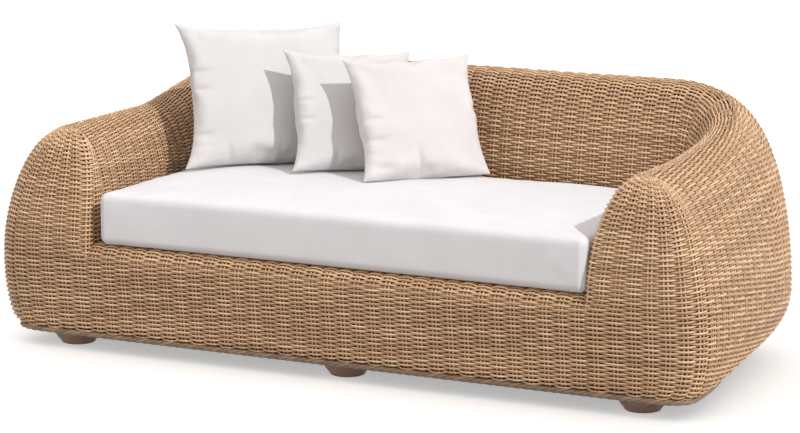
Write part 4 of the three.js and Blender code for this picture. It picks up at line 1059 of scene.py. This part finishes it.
caneFinish = caneMaterial("extruded_resin_cane", [
    (0.0, "#AC8665"), (0.3, "#BB946F"), (0.6, "#C9A178"), (0.85, "#D4B088"), (1.0, "#DEBB97")], 0.42)
borderFinish = caneMaterial("twisted_resin_cane", [(0.0, "#6A503D"), (0.5, "#7B6049"), (1.0, "#8D6F54")], 0.5)
# painted shade: a dark brown finish for the sheet behind the weave, standing in for its shadowed inside
paintedShadeFinish = caneMaterial("painted_shade_dark_brown", [(0.0, "#381F0D"), (1.0, "#442812")], 0.75)
seatFinish = canvasMaterial("white_acrylic_canvas", "#DAD8DA", "#D6D4D6")
pillowFinish = canvasMaterial("off_white_acrylic_canvas", "#CFCDCC", "#CBC8C7")
creamFinish = canvasMaterial("cream_acrylic_canvas", "#D1CDCC", "#CDC8C6")
# Moulded polypropylene: an even pinkish brown with a fine grained face
footFinish = newMaterial("moulded_brown_polypropylene", {"Roughness": 0.48, "IOR": 1.49},
                         [(0.3, "#8E6E5C"), (0.7, "#A17F6C")], grainPattern(0.03, 0.0012, 1), 0.15, 0.0002)
# The frame inside: brown powder coat on aluminium, and zinc on the screws
aluminium = newMaterial("powder_coated_aluminium", {"Roughness": 0.55, "Metallic": 0.0},
                        [(0.3, "#5B4A3C"), (0.7, "#66543F")], grainPattern(0.002, 0.002, 4), 0.2, 0.0003)
steel = newMaterial("zinc_plated_steel", {"Roughness": 0.35, "Metallic": 1.0},
                    [(0.3, "#8C8F92"), (0.7, "#A5A8AA")], grainPattern(0.004, 0.004, 4), 0.2, 0.0003)

finished = [(caneFinish, canePieces), (borderFinish, [borderPiece]), (paintedShadeFinish, [paintedShadePiece]),
            (footFinish, footPieces), (seatFinish, [cushion]), (pillowFinish, pillowPieces[:2]),
            (creamFinish, pillowPieces[2:])]
for finish, pieces in finished:
    for piece in pieces:
        piece.data.materials.append(finish)
hidden = ("cushion", "pillow", "_foot", "weave", "braid")
for nodeName, node in frame["nodes"].items():
    if nodeName.endswith("_screw") or not any(word in nodeName for word in hidden):
        node.data.materials.clear()
        node.data.materials.append(steel if nodeName.endswith("_screw") else aluminium)
print("materials set")

# A plain white floor, a high key light from the right, a little in front, and soft fill
studio = {"floor": 14, "keyTurn": 72, "keyHeight": 39.5, "keyPower": 2.27, "keyAngle": 1.2, "sky": 0.74,
          "zenith": 0.42, "floorGlow": 0.42, "floorShown": 0.86, "floorBounce": 0.64}
floorMesh = bpy.data.meshes.new("floor")
edge = studio["floor"]
floorMesh.from_pydata([(-edge, -edge, 0), (edge, -edge, 0), (edge, edge, 0), (-edge, edge, 0)], [], [(0, 1, 2, 3)])
floor = bpy.data.objects.new("floor", floorMesh)
bpy.context.scene.collection.objects.link(floor)
floorMaterial = bpy.data.materials.new("white_paper_floor")
floorMesh.materials.append(floorMaterial)


def seenRay(tree):
    # 1 for what the camera sees, straight or in a gloss, and 0 for light on its way to a surface
    straight = addNode(tree, "ShaderNodeLightPath", {}, "Is Camera Ray")
    glossy = straight.node.outputs["Is Glossy Ray"]
    return addNode(tree, "ShaderNodeMath", {"operation": "MAXIMUM", 0: straight, 1: glossy})


# the floor sends less light back up than it shows
tree = emptyTree(floorMaterial)
seen = seenRay(tree)
shade = addNode(tree, "ShaderNodeMath", {"operation": "MULTIPLY_ADD", 0: seen, 2: studio["floorBounce"],
                                         1: studio["floorShown"] - studio["floorBounce"]})
paper = addNode(tree, "ShaderNodeBsdfDiffuse", {"Color": shade})
strength = addNode(tree, "ShaderNodeMath", {"operation": "MULTIPLY", 0: seen, 1: studio["floorGlow"]})
glow = addNode(tree, "ShaderNodeEmission", {"Color": (1, 1, 1, 1), "Strength": strength})
addNode(tree, "ShaderNodeOutputMaterial", {"Surface": addNode(tree, "ShaderNodeAddShader", {0: paper, 1: glow})})

# the fill grows from the horizon to the zenith, before a white backdrop
world = bpy.data.worlds.new("studio")
bpy.context.scene.world = world
tree = emptyTree(world)
ray = addNode(tree, "ShaderNodeTexCoord", {}, "Generated")
upward = addNode(tree, "ShaderNodeSeparateXYZ", {0: ray}, "Z")
upward = addNode(tree, "ShaderNodeMath", {"operation": "MAXIMUM", 0: upward, 1: 0.0})
fill = addNode(tree, "ShaderNodeMath", {"operation": "MULTIPLY_ADD", 0: upward, 1: studio["zenith"], 2: studio["sky"]})
sky = addNode(tree, "ShaderNodeBackground", {"Color": linear("#FBF8F5"), "Strength": fill})
backdrop = addNode(tree, "ShaderNodeBackground", {"Color": (1, 1, 1, 1), "Strength": 1.0})
blend = addNode(tree, "ShaderNodeMixShader", {0: seenRay(tree), 1: sky, 2: backdrop})
addNode(tree, "ShaderNodeOutputWorld", {"Surface": blend})

keyData = bpy.data.lights.new("keyLight", "SUN")
keyData.energy = studio["keyPower"]
keyData.angle = math.radians(studio["keyAngle"])
keyData.color = linear("#FBFCFF")[:3]
key = bpy.data.objects.new("keyLight", keyData)
turn, height = math.radians(studio["keyTurn"]), math.radians(studio["keyHeight"])
towards = Vector((math.sin(turn) * math.cos(height), -math.cos(turn) * math.cos(height), math.sin(height)))
key.rotation_euler = towards.to_track_quat("Z", "Y").to_euler()
bpy.context.scene.collection.objects.link(key)
keyLit = bpy.data.collections.new("keyLit")
for thing in bpy.context.scene.objects:
    if thing.type == "MESH" and thing is not floor:
        keyLit.objects.link(thing)
key.light_linking.receiver_collection = keyLit
print("lights set")
